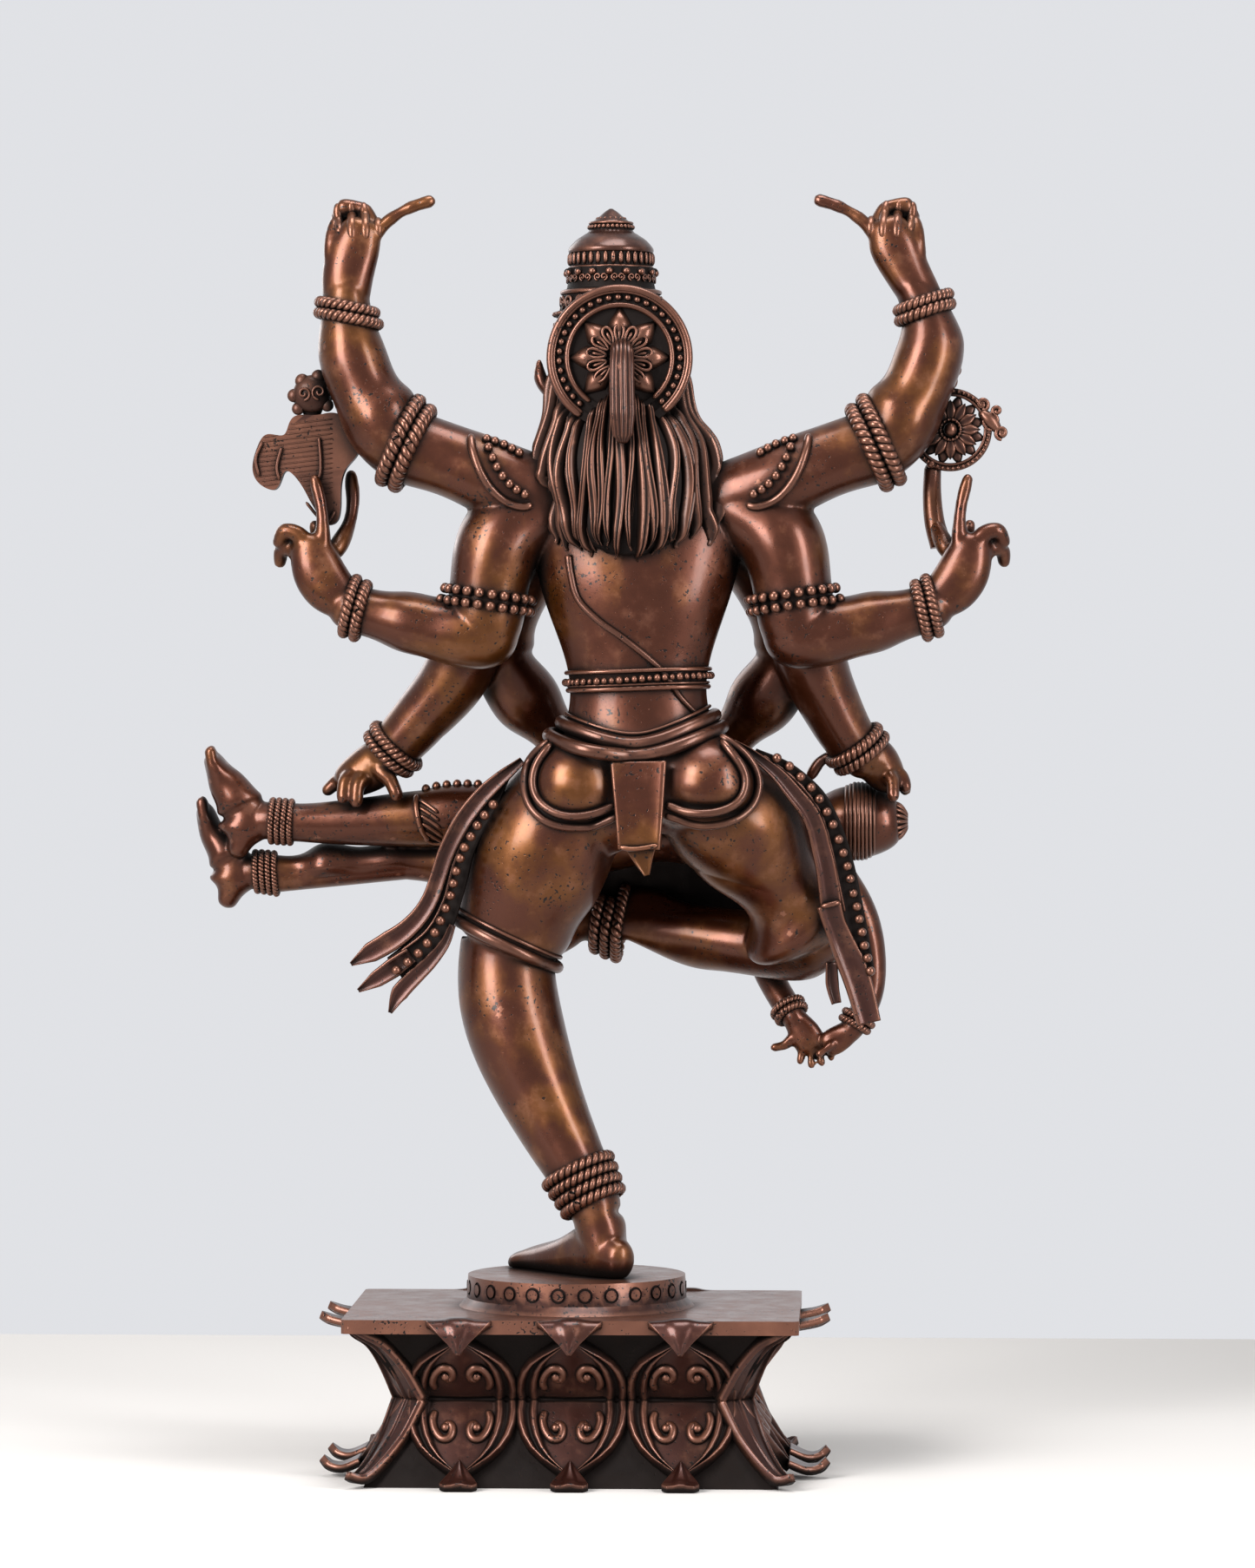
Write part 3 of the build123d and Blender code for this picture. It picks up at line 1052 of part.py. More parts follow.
# ---------------------------------------------------------------- sashes
SASHES = {
    "left": {
        "lies_on": [hips, standing_thigh],
        "depth_axis": (0.4, 0.92, 0),
        "strips": [
            [
                (-14.6, -7, 124.4, 1.8, 0.8), (-20, -7.8, 118.4, 2.6, 0.8),
                (-25.4, -7.4, 111.4, 3.6, 0.8), (-29, -6.4, 105, 4.0, 0.8), (-31, -5.6, 98.4, 4.2, 0.8),
                (-33, -5, 91.6, 4.6, 0.8), (-36, -4.6, 85.4, 5.2, 0.8), (-40.6, -4.4, 79.6, 5.8, 0.8),
                (-45, -4.4, 75.4, 5.6, 0.8),
            ],
            [
                (-42, -4.4, 83.2, 2.3, 1.0), (-47, -4.2, 80, 2.2, 1.0), (-51, -4, 78, 1.7, 1.0),
                (-54.8, -3.8, 76.2, 0.7, 0.9),
            ],
            [(-42, -4.4, 76.6, 2.4, 1.0), (-47.4, -4.2, 73, 2.2, 1.0), (-53.2, -4, 70, 0.7, 0.9)],
            [
                (-36.4, -4.4, 78.2, 2.4, 1.0), (-39.4, -4.4, 73.4, 2.2, 1.0), (-43, -4.2, 69, 1.8, 1.0),
                (-45.6, -4.2, 64.2, 0.7, 0.9),
            ],
        ],
        "beads": [
            (-19.9, 115.6), (-22, 113), (-23.8, 110.5), (-25.4, 107.8), (-27, 105.1), (-28.1, 102.5),
            (-29.1, 99.3), (-29.8, 96.3), (-30.5, 93.3), (-31.7, 90.2), (-33, 87.1), (-34.4, 84.2),
            (-36.3, 81.6), (-38.5, 79.1), (-41.1, 76.9), (-43.9, 74.9),
        ],
    },
    "right": {
        "lies_on": [hips, raised_thigh],
        "depth_axis": (-0.3, 0.95, 0),
        "strips": [
            [
                (39, -9, 130.6, 1.6, 0.8), (44.6, -8.4, 128, 2.0, 0.8), (51, -6, 123.8, 2.8, 0.8),
                (57.2, -3.6, 117.6, 3.2, 0.8), (61, -1.4, 110.4, 3.6, 0.8), (63, 0.6, 102.4, 4.0, 0.8),
                (65, 2.4, 93.6, 4.6, 0.8), (67.4, 3.6, 84.6, 4.8, 0.8), (70, 4.4, 75, 4.6, 0.8),
                (71.8, 4.8, 66, 3.8, 0.8), (72.4, 4.8, 61.6, 3.2, 0.8),
            ],
        ],
        "beads": [
            (49.3, 127), (52.3, 125), (55, 122.4), (57.6, 119.8), (59.6, 117), (61.4, 113.8),
            (62.9, 110.7), (64.3, 107), (65.4, 103.7), (66.4, 100.4), (67.1, 97.3), (67.8, 93.7),
            (68.7, 90.4), (69.3, 87.3), (70, 84.1), (70.6, 80.8), (71.4, 77.7), (72.1, 74.5),
        ],
    },
}

sashes = {}
for hand_side, plan in SASHES.items():
    with BuildPart() as sash:
        for strip in plan["strips"]:
            limb(strip, depth_axis=plan["depth_axis"], round_start=False, round_end=False, flat=True)
        clear(*plan["lies_on"])
        keep_main(sash)
    sashes[hand_side] = sash
    save(sash, f"sash_{hand_side}")

SASH_BEAD_RADIUS = 1.15


def strip_middle(strip, z):
    """The middle of a strip's thickness at a height."""
    for upper, lower in zip(strip, strip[1:]):
        if upper[2] >= z >= lower[2]:
            share = (upper[2] - z) / (upper[2] - lower[2])
            return upper[1] + (lower[1] - upper[1]) * share
    return strip[0][1] if z > strip[0][2] else strip[-1][1]


def bead_seat(sash, strip, x, z):
    """Where a bead rests on a sash's outer face, or beside its edge where it overhangs."""
    hits = sash.part.find_intersection_points(Axis(at(x, -FAR, z), (0, 1, 0)))
    face = min(hit[0].Y for hit in hits) if hits else strip_middle(strip, z) - strip[0][4]
    return (x, face - SASH_BEAD_RADIUS - SEAT, z)


with BuildPart() as sash_beads:
    for hand_side, plan in SASHES.items():
        seats = [bead_seat(sashes[hand_side], plan["strips"][0], x, z) for x, z in plan["beads"]]
        beads(seats, SASH_BEAD_RADIUS)
save(sash_beads, "sash_beads")

for builder, name in [(conch, "conch"), (discus, "discus")]:
    save(builder, name)

# ---------------------------------------------------------------- the demon
# Its trunk and limbs are given by x, y, z above the dais, half width and half height.
DEMON_TRUNK = [
    (-5, 31, 107, 8.4, 8.2), (3, 31, 107, 10.4, 9.2), (13, 31, 107.4, 9.2, 8.0), (25, 31, 108.4, 10.0, 8.6),
    (37, 31, 109.6, 12.4, 9.2), (46, 31, 109.8, 12.6, 8.2), (52, 30.6, 109.8, 8.0, 6.0),
]
DEMON_NECK = [(50, 30, 109.8, 5.0), (56, 28.6, 110, 4.8), (62, 27.4, 110.4, 5.0)]
DEMON_HEAD = [
    (60, 27, 109.6, 6.6, 7.2), (64.6, 26.6, 110, 8.6, 9.0), (69, 26.2, 110.4, 8.8, 9.2),
    (72, 26, 110.6, 8.2, 8.6),
]
DEMON_NEAR_THIGH = [(-2, 26, 108, 8.4), (-14, 24, 111, 8.2), (-26, 22.6, 112.2, 7.8), (-36, 22, 112, 7.4)]
DEMON_NEAR_SHIN = [
    (-34, 22, 111.6, 6.9), (-42, 22, 111.3, 7.0), (-52, 22, 110.8, 6.2), (-62, 22, 110.4, 5.4),
    (-72, 22, 110.5, 4.8), (-79, 22, 111.0, 4.6),
]
DEMON_FAR_THIGH = [(-2, 35, 103, 8.0), (-14, 32, 101, 7.0), (-26, 29.4, 99.8, 6.2), (-36, 28, 99.6, 5.6)]
DEMON_FAR_SHIN = [
    (-33, 28, 99.6, 5.2), (-44, 27.6, 99.6, 5.3), (-56, 27.2, 99.3, 5.0), (-68, 27, 98.9, 4.7),
    (-83, 27, 98.0, 4.4),
]
DEMON_NEAR_FOOT = [
    (-85.4, 22, 104.4, 3.4, 2.8), (-84.5, 22, 107.2, 4.2, 5.2), (-84.0, 22, 111, 4.5, 6.2),
    (-85.2, 22, 114.9, 4.7, 6.0), (-87.6, 22, 118.7, 5.0, 4.9), (-90.1, 22, 122.5, 5.3, 3.6),
    (-91.6, 22, 125.4, 5.4, 2.6),
]
DEMON_FAR_FOOT = [
    (-88.6, 27, 91.6, 3.4, 2.8), (-87.7, 27, 94.4, 4.2, 4.8), (-87.4, 27, 98, 4.5, 5.6),
    (-88.6, 27, 101.6, 4.6, 5.2), (-91.2, 27.6, 105.3, 4.8, 3.8), (-93.4, 28, 109.2, 5.0, 3.0),
    (-94.4, 28, 112.6, 5.0, 2.4),
]
# aside, length, radius
DEMON_TOES = [
    (-4.0, 4.2, 1.45), (-1.6, 4.4, 1.15), (0.6, 4.0, 1.1), (2.6, 3.4, 1.05), (4.4, 2.6, 1.0),
]
DEMON_ARMS = {
    "left": [
        (50, 39, 106, 4.8), (47, 42.5, 97, 4.6), (44.6, 43, 86, 4.3), (45.6, 40, 75, 3.9),
        (49.4, 35.4, 67, 3.5), (53, 32, 61.4, 3.1),
    ],
    "right": [
        (56, 30, 105, 4.6), (63, 32, 98, 4.5), (69.4, 32.4, 88, 4.2), (72.4, 31.6, 76, 3.7),
        (71.6, 30.4, 66, 3.3), (67.4, 29.6, 58.4, 2.9),
    ],
}
DEMON_PALMS = {
    "left": [(53, 32, 61.4, 3.0, 2.4), (55.4, 31, 58, 3.9, 2.2), (57.4, 30.4, 54.6, 3.7, 1.9)],
    "right": [(67.4, 29.6, 58.4, 2.8, 2.4), (64.4, 29.4, 56.4, 3.4, 2.0), (61.8, 29.2, 54.8, 3.2, 1.8)],
}
DEMON_FINGERS = {
    "left": [
        [(55.0, 30.4, 54.6, 1.1), (54.6, 30, 50.6, 0.95)],
        [(57.2, 30.2, 54, 1.1), (57.4, 29.8, 49.6, 0.95)],
        [(59.2, 30.2, 54.4, 1.1), (60, 29.8, 50.2, 0.95)], [(61, 30.4, 55.4, 1.0), (62.4, 30, 51.4, 0.85)],
        [(53.4, 31, 57, 1.3), (50.4, 30.6, 54.4, 1.2), (48.2, 30.2, 54, 1.1)],
    ],
    "right": [
        [(62.6, 27.6, 55, 1.1), (59.4, 27, 52.6, 0.95)], [(61.8, 31, 54, 1.1), (58.6, 31.6, 51.6, 0.95)],
    ],
}

with BuildPart() as demon_trunk:
    limb(DEMON_TRUNK, depth_axis=(0, 0, 1))
    limb(DEMON_NECK, depth_axis=(0, 0, 1), round_start=False, round_end=False)
    clear(raised_thigh, *front_arms)
    keep_main(demon_trunk)

with BuildPart() as demon_head:
    limb(DEMON_HEAD, depth_axis=(0, 0, 1))
    clear(demon_trunk, *lower_arms[1:])
    keep_main(demon_head)

DEMON_CROWN = [
    (66.6, 0), (66.6, 8.2), (68, 9.9), (71, 10.2), (73.6, 9.2), (74.2, 6.8), (74.9, 6.6), (75.8, 6.6),
    (76.2, 4.6), (77.4, 5.0), (79.4, 4.6), (80.6, 3.2), (81.2, 0),
]
DEMON_CROWN_Y, DEMON_CROWN_Z = 26.0, 111.0
with BuildPart() as demon_crown:
    with BuildSketch(Plane(origin=at(0, DEMON_CROWN_Y, DEMON_CROWN_Z), x_dir=(1, 0, 0), z_dir=(0, -1, 0))):
        with BuildLine():
            Polyline(*DEMON_CROWN, close=True)
        make_face()
    revolve(axis=Axis(at(0, DEMON_CROWN_Y, DEMON_CROWN_Z), (1, 0, 0)))
    clear(demon_head, *lower_arms[1:])
    keep_main(demon_crown)

with BuildPart() as demon_near_thigh:
    limb(DEMON_NEAR_THIGH, depth_axis=(0, 0, 1))
    clear(demon_trunk, standing_thigh)
    keep_main(demon_near_thigh)

with BuildPart() as demon_far_thigh:
    limb(DEMON_FAR_THIGH, depth_axis=(0, 0, 1))
    clear(demon_trunk, demon_near_thigh)
    keep_main(demon_far_thigh)

demon_shins = {}
for place, shin_stations, foot_stations, thigh in [
    ("near", DEMON_NEAR_SHIN, DEMON_NEAR_FOOT, demon_near_thigh),
    ("far", DEMON_FAR_SHIN, DEMON_FAR_FOOT, demon_far_thigh),
]:
    with BuildPart() as shin:
        limb(shin_stations, depth_axis=(0, 0, 1))
        limb(foot_stations, depth_axis=(1, 0, 0))
        x, y, z, _, _ = foot_stations[-1]
        for aside, length, radius in DEMON_TOES:
            tip = (x - 0.6, y + aside, z + length - radius, radius)
            limb([(x, y + aside, z - 1, radius), tip], depth_axis=(1, 0, 0))
        clear(thigh)
        if place == "near":
            clear(arms["lower", "left"])
        else:
            clear(demon_shins["near"])
        keep_main(shin)
    demon_shins[place] = shin
    save(shin, f"demon_{place}_leg")

demon_arms = {}
for hand_side, stations in DEMON_ARMS.items():
    with BuildPart() as demon_arm:
        limb(stations, depth_axis=(1, 0, 0))
        limb(DEMON_PALMS[hand_side], depth_axis=(0, 1, 0))
        for finger in DEMON_FINGERS[hand_side]:
            limb(finger)
        clear(demon_trunk, demon_head)
        keep_main(demon_arm)
    save(demon_arm, f"demon_arm_{hand_side}")
    demon_arms[hand_side] = demon_arm

with BuildPart() as demon_rings:
    for hand_side, stations in DEMON_ARMS.items():
        rope_rings([demon_arms[hand_side]], stations, 4.7, strands=2, rope_radius=0.9)
    for place, shin_stations, station in [("near", DEMON_NEAR_SHIN, 4.4), ("far", DEMON_FAR_SHIN, 3.75)]:
        rope_rings([demon_shins[place]], shin_stations, station, strands=4, rope_radius=0.75)
save(demon_rings, "demon_rings")

for builder, name in [
    (demon_trunk, "demon_trunk"), (demon_head, "demon_head"), (demon_crown, "demon_crown"),
    (demon_near_thigh, "demon_near_thigh"), (demon_far_thigh, "demon_far_thigh"),
]:
    save(builder, name)
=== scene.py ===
"""Looks of the cast brass statue: castings joined into one skin, ornament, patina, light and camera.

Lengths are in millimetres until a mesh is made. The figure's heights are above the dais, where it stands.
"""

import json
from math import cos, inf, pi, radians, sin, tau

import bmesh
import bpy
import numpy as np
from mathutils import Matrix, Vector
from mathutils.bvhtree import BVHTree


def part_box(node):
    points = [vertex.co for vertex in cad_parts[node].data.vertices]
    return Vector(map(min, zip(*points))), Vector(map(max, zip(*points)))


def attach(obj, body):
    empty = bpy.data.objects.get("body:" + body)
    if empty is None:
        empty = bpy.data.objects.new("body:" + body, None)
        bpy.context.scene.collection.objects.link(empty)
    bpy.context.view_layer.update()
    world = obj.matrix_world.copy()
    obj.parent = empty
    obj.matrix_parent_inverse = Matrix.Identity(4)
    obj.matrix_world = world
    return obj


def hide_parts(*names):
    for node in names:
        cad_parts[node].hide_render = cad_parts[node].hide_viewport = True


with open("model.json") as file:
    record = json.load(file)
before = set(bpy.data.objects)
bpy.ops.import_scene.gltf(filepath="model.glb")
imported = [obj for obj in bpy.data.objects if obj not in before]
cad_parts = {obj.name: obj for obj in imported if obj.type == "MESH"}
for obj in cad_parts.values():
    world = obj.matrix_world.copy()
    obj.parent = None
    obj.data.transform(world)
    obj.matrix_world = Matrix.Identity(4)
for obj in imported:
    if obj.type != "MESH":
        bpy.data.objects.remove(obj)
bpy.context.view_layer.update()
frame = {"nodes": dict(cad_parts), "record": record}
NODES = frame["nodes"]
MM = 0.001
STAND_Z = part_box("round_dais")[1][2] / MM  # top of the dais
RNG = np.random.default_rng(7)


# ---------------------------------------------------------------- mesh helpers
def vec(*xyz):
    return np.array(xyz, float)


def on_stand(x, y, z):
    """A point of the figure in the object's frame."""
    return vec(x, y, z + STAND_Z)


def corners(name):
    """A CAD node's lowest and highest corners."""
    return [np.array(corner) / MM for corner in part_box(name)]


def unit(v):
    v = np.asarray(v, float)
    return v / (np.linalg.norm(v, axis=-1, keepdims=True) + 1e-12)


class Shape:
    """Vertices and faces gathered from several forms."""

    def __init__(self):
        self.rows = []
        self.faces = []
        self.count = 0

    def add(self, verts, faces):
        verts = np.asarray(verts, float)
        self.rows.append(verts)
        self.faces += [tuple(i + self.count for i in face) for face in faces]
        self.count += len(verts)

    def move(self, first, shift):
        """Moves the forms added since the first."""
        self.rows[first:] = [row + shift for row in self.rows[first:]]

    def mesh(self, name):
        mesh = bpy.data.meshes.new(name)
        mesh.from_pydata((np.vstack(self.rows) * MM).tolist(), [], self.faces)
        return mesh

    def piece(self, name, material, slot, replaces=()):
        finish_piece(self.mesh(name), name, material, replaces)

    def ornament(self, name, *replaces):
        self.piece(name, ORNAMENT, "ornament_brass", replaces)


def finish_piece(mesh, name, material, replaces=()):
    """Links a mesh as a smooth, closed, outward-facing piece of the statue."""
    work = bmesh.new()
    work.from_mesh(mesh)
    bmesh.ops.recalc_face_normals(work, faces=work.faces)
    work.to_mesh(mesh)
    work.free()
    mesh.polygons.foreach_set("use_smooth", [True] * len(mesh.polygons))
    mesh.materials.clear()
    mesh.materials.append(material)
    piece = bpy.data.objects.new(name, mesh)
    bpy.context.scene.collection.objects.link(piece)
    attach(piece, "root")
    if replaces:
        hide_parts(*replaces)


def mesh_points(mesh):
    points = np.empty(len(mesh.vertices) * 3)
    mesh.vertices.foreach_get("co", points)
    return points.reshape(-1, 3) / MM


def mesh_faces(mesh):
    return [tuple(face.vertices) for face in mesh.polygons]


def gathered(names):
    """Several CAD nodes as one shape."""
    shape = Shape()
    for name in names:
        shape.add(mesh_points(NODES[name].data), mesh_faces(NODES[name].data))
    return shape


def tree_of(points, faces):
    """A surface that rays can be cast at."""
    return BVHTree.FromPolygons([Vector(point) for point in points], faces)


def surface(*names):
    """A surface made of several CAD nodes that rays can be cast at."""
    shape = gathered(names)
    return tree_of(np.vstack(shape.rows), shape.faces)


def cast_ray(tree, start, direction, far=400.0):
    """Where a ray first meets a surface, and the surface's normal there, or None."""
    place, normal, _, _ = tree.ray_cast(Vector(start), Vector(unit(direction)), far)
    return None if place is None else (np.array(place), np.array(normal))


def lay(tree, points, lift):
    """Moves x, z points on to the back of a surface, raised by lift."""
    laid = []
    for x, z in points:
        hit = cast_ray(tree, on_stand(x, -200, z), (0, 1, 0))
        if hit is None:
            laid.append(laid[-1] if laid else on_stand(x, 0, z))
            continue
        place, normal = hit
        laid.append(place + normal * (-lift if normal[1] > 0 else lift))
    return np.array(laid)


def smooth_path(points, step=0.5, closed=False):
    """Evenly spaced points on a Catmull-Rom curve through the given ones."""
    points = np.asarray(points, float)
    if closed:
        padded = np.vstack([points[-1], points, points[0], points[1]])
    else:
        padded = np.vstack([2 * points[0] - points[1], points, 2 * points[-1] - points[-2]])
    fine = []
    for i in range(1, len(padded) - 2):
        a, b, c, d = padded[i - 1 : i + 3]
        steps = max(2, int(np.linalg.norm(c - b) / (step * 0.5)))
        t = np.linspace(0, 1, steps, endpoint=False)[:, None]
        square, cube = 2 * a - 5 * b + 4 * c - d, 3 * b - a - 3 * c + d
        fine.append(0.5 * (2 * b + (c - a) * t + square * t**2 + cube * t**3))
    fine = np.vstack(fine + [padded[-2][None, :]])
    lengths = np.concatenate([[0], np.cumsum(np.linalg.norm(np.diff(fine, axis=0), axis=1))])
    count = max(3, int(lengths[-1] / step) + 1)
    even = np.linspace(0, lengths[-1], count)
    path = np.stack([np.interp(even, lengths, fine[:, k]) for k in range(3)], axis=1)
    return path[:-1] if closed else path


def smooth_outline(points, step):
    """Evenly spaced (across, height) points on a smooth curve through the given ones."""
    return smooth_path([vec(across, 0, height) for across, height in points], step)[:, [0, 2]]


def figure_path(points, step):
    """Evenly spaced points on a smooth curve through points given on the stand."""
    return smooth_path([on_stand(*point) for point in points], step)


def along(path):
    """Shares of the way along a path."""
    return np.linspace(0, 1, len(path))


def frames(path, closed=False, up=None):
    """Side and top directions along a path, carried without twist unless a top is given."""
    if closed:
        tangents = unit(np.roll(path, -1, axis=0) - np.roll(path, 1, axis=0))
    else:
        tangents = unit(np.gradient(path, axis=0))
    if up is not None:
        tops = np.broadcast_to(np.asarray(up, float), path.shape)
        sides = unit(np.cross(tangents, tops))
        return sides, unit(np.cross(sides, tangents))
    start = vec(0, 0, 1) if abs(tangents[0][2]) < 0.9 else vec(1, 0, 0)
    side = unit(np.cross(tangents[0], start))
    sides = []
    for tangent in tangents:
        side = unit(side - tangent * np.dot(side, tangent))
        sides.append(side)
    return np.array(sides), unit(np.cross(sides, tangents))


def sweep(shape, path, outline, sizes=None, closed=False, up=None):
    """Adds a solid that follows a path. Outline gives (side, top) points, scaled by sizes at each step."""
    sides, tops = frames(path, closed, up)
    outline = np.asarray(outline, float)
    n = len(outline)
    sizes = np.ones((len(path), 1)) if sizes is None else np.asarray(sizes, float).reshape(len(path), -1)
    wide = outline[None, :, 0] * sizes[:, :1]
    high = outline[None, :, 1] * sizes[:, -1:]
    verts = path[:, None, :] + sides[:, None, :] * wide[..., None] + tops[:, None, :] * high[..., None]
    faces = []
    rings = len(path) if closed else len(path) - 1
    for i in range(rings):
        a, b = i * n, ((i + 1) % len(path)) * n
        faces += [(a + j, a + (j + 1) % n, b + (j + 1) % n, b + j) for j in range(n)]
    if not closed:
        last = (len(path) - 1) * n
        faces += [tuple(range(n))[::-1], tuple(range(last, last + n))]
    shape.add(verts.reshape(-1, 3), faces)


def ribbon(shape, path, outline, widths, thickness):
    """Adds a flat strip along a path, its top to the back, scaled by half widths and a thickness."""
    sweep(shape, path, outline, np.stack([widths, np.full_like(widths, thickness)], axis=1), up=(0, -1, 0))


def turns(count):
    """Evenly spaced angles round a circle."""
    return [tau * i / count for i in range(count)]


def round_outline(radius, sides):
    return [(radius * cos(turn), radius * sin(turn)) for turn in turns(sides)]


def tapered(count, ends, reach=0.12):
    """Sizes along a path that shrink to a share at both ends."""
    t = np.linspace(0, 1, count)
    return ends + (1 - ends) * np.clip(np.minimum(t, 1 - t) / reach, 0, 1) ** 0.5


def cord(shape, points, radius, closed=False, sides=10, step=0.5, ends=0.35):
    """Adds a round cord through points. Open ends are rounded down to a share of its radius."""
    path = smooth_path(points, step, closed)
    sizes = None if closed else tapered(len(path), ends, min(0.4, 1.6 * radius / (step * len(path))))
    sweep(shape, path, round_outline(radius, sides), sizes, closed)


def figure_cord(shape, points, radius, **options):
    """Adds a cord through points given on the stand."""
    cord(shape, [on_stand(*point) for point in points], radius, **options)


def rope(shape, points, radius, pitch, sides=8):
    """Adds two strands twisted round a closed run of points."""
    step = pitch / 14
    path = smooth_path(points, step, closed=True)
    side, top = frames(path, closed=True)
    twists = max(1, round(step * len(path) / pitch))
    # A frame carried round a loop comes back turned, and the twist takes that up.
    first, last = side[0], side[-1]
    slip = np.arctan2(np.dot(np.cross(last, first), unit(path[1] - path[0])), np.dot(last, first))
    angles = np.linspace(0, twists * tau, len(path), endpoint=False)
    angles = angles + np.linspace(0, slip, len(path), endpoint=False)
    spread = radius * 0.5
    for start in (0, pi):
        turn = (angles + start)[:, None]
        strand = path + (side * np.cos(turn) + top * np.sin(turn)) * spread
        sweep(shape, strand, round_outline(radius - spread * 0.92, sides), closed=True)


def lathe(shape, centre, outline, sides):
    """Adds a closed solid turned round the Z axis from (radius, height) points."""
    angles = turns(sides)
    verts = [centre + vec(r * cos(angle), r * sin(angle), z) for r, z in outline for angle in angles]
    faces = [tuple(range(sides))[::-1], tuple(range((len(outline) - 1) * sides, len(outline) * sides))]
    for k in range(len(outline) - 1):
        a, b = k * sides, (k + 1) * sides
        faces += [(a + i, a + (i + 1) % sides, b + (i + 1) % sides, b + i) for i in range(sides)]
    shape.add(verts, faces)


def bead(shape, centre, radius, flat=None, rings=6, sides=10):
    """Adds a ball, or one squashed along a direction by a share."""
    verts = [vec(0, 0, 1)]
    for i in range(1, rings):
        lat = pi * i / rings
        verts += [vec(sin(lat) * cos(turn), sin(lat) * sin(turn), cos(lat)) for turn in turns(sides)]
    verts.append(vec(0, 0, -1))
    verts = np.array(verts) * radius
    if flat is not None:
        axis, share = unit(flat[0]), flat[1]
        verts -= np.outer(verts @ axis, axis) * (1 - share)
    faces = [(0, 1 + j, 1 + (j + 1) % sides) for j in range(sides)]
    for i in range(rings - 2):
        a = 1 + i * sides
        for j in range(sides):
            following = (j + 1) % sides
            faces.append((a + j, a + sides + j, a + sides + following, a + following))
    end, a = len(verts) - 1, 1 + (rings - 2) * sides
    faces += [(end, a + (j + 1) % sides, a + j) for j in range(sides)]
    shape.add(verts + centre, faces)


def loose_parts(name):
    """The separate solids of a CAD node, each as an array of points."""
    points, faces = mesh_points(NODES[name].data), mesh_faces(NODES[name].data)
    _, same = np.unique(np.round(points, 3), axis=0, return_inverse=True)
    same = same.reshape(-1)
    parent = list(range(same.max() + 1))

    def root(i):
        while parent[i] != i:
            parent[i] = parent[parent[i]]
            i = parent[i]
        return i

    for face in faces:
        first = root(same[face[0]])
        for corner in face[1:]:
            parent[root(same[corner])] = first
    roots = np.array([root(i) for i in same])
    return [points[roots == r] for r in np.unique(roots)]


def ease_open(points, rounds=2):
    """Evens out an open run of points, its ends held."""
    points = np.array(points)
    for _ in range(rounds):
        points[1:-1] = 0.25 * points[:-2] + 0.5 * points[1:-1] + 0.25 * points[2:]
    return points


def ease(points, rounds=3):
    """Evens out a closed run of points."""
    for _ in range(rounds):
        points = 0.25 * np.roll(points, 1, axis=0) + 0.5 * points + 0.25 * np.roll(points, -1, axis=0)
    return points


def ring_of(points):
    """Centre, axis, radius and cord radius of a round ring's points."""
    centred = points - points.mean(0)
    _, _, axes = np.linalg.svd(centred, full_matrices=False)
    axis = unit(axes[2])
    heights = centred @ axis
    centre = points.mean(0) + axis * (heights.max() + heights.min()) / 2
    reach = np.linalg.norm((points - centre) - np.outer((points - centre) @ axis, axis), axis=1)
    cord_radius = (heights.max() - heights.min()) / 2
    return centre, axis, (reach.max() + reach.min()) / 2, cord_radius


def circle(centre, axis, radius, count=48):
    """Evenly spaced points round a centre."""
    axis = unit(axis)
    side = unit(np.cross(axis, vec(0, 0, 1) if abs(axis[2]) < 0.9 else vec(1, 0, 0)))
    top = np.cross(axis, side)
    angles = np.arange(count) * tau / count
    return centre + radius * (np.cos(angles)[:, None] * side + np.sin(angles)[:, None] * top)


# ---------------------------------------------------------------- materials
SHADE_AND_PITS = (0.006, 0.003, 0.0022)  # near-black painted as shade in the hollows and creases, and the colour of the casting pits
WORN = (0.215, 0.088, 0.053)  # copper-coloured metal on rubbed edges
METALLIC = 0.8
HOLLOW_ROUGHNESS = 0.62
COAT_ROUGHNESS = 0.2
RELIEF = 0.18  # height of the grain and the pits
CLOUDS, SPOTS, GRAIN, PITS = 38, 150, 900, 1250  # how fine each texture is
PIT_CLOUDS = 60  # and the texture that gathers the pits


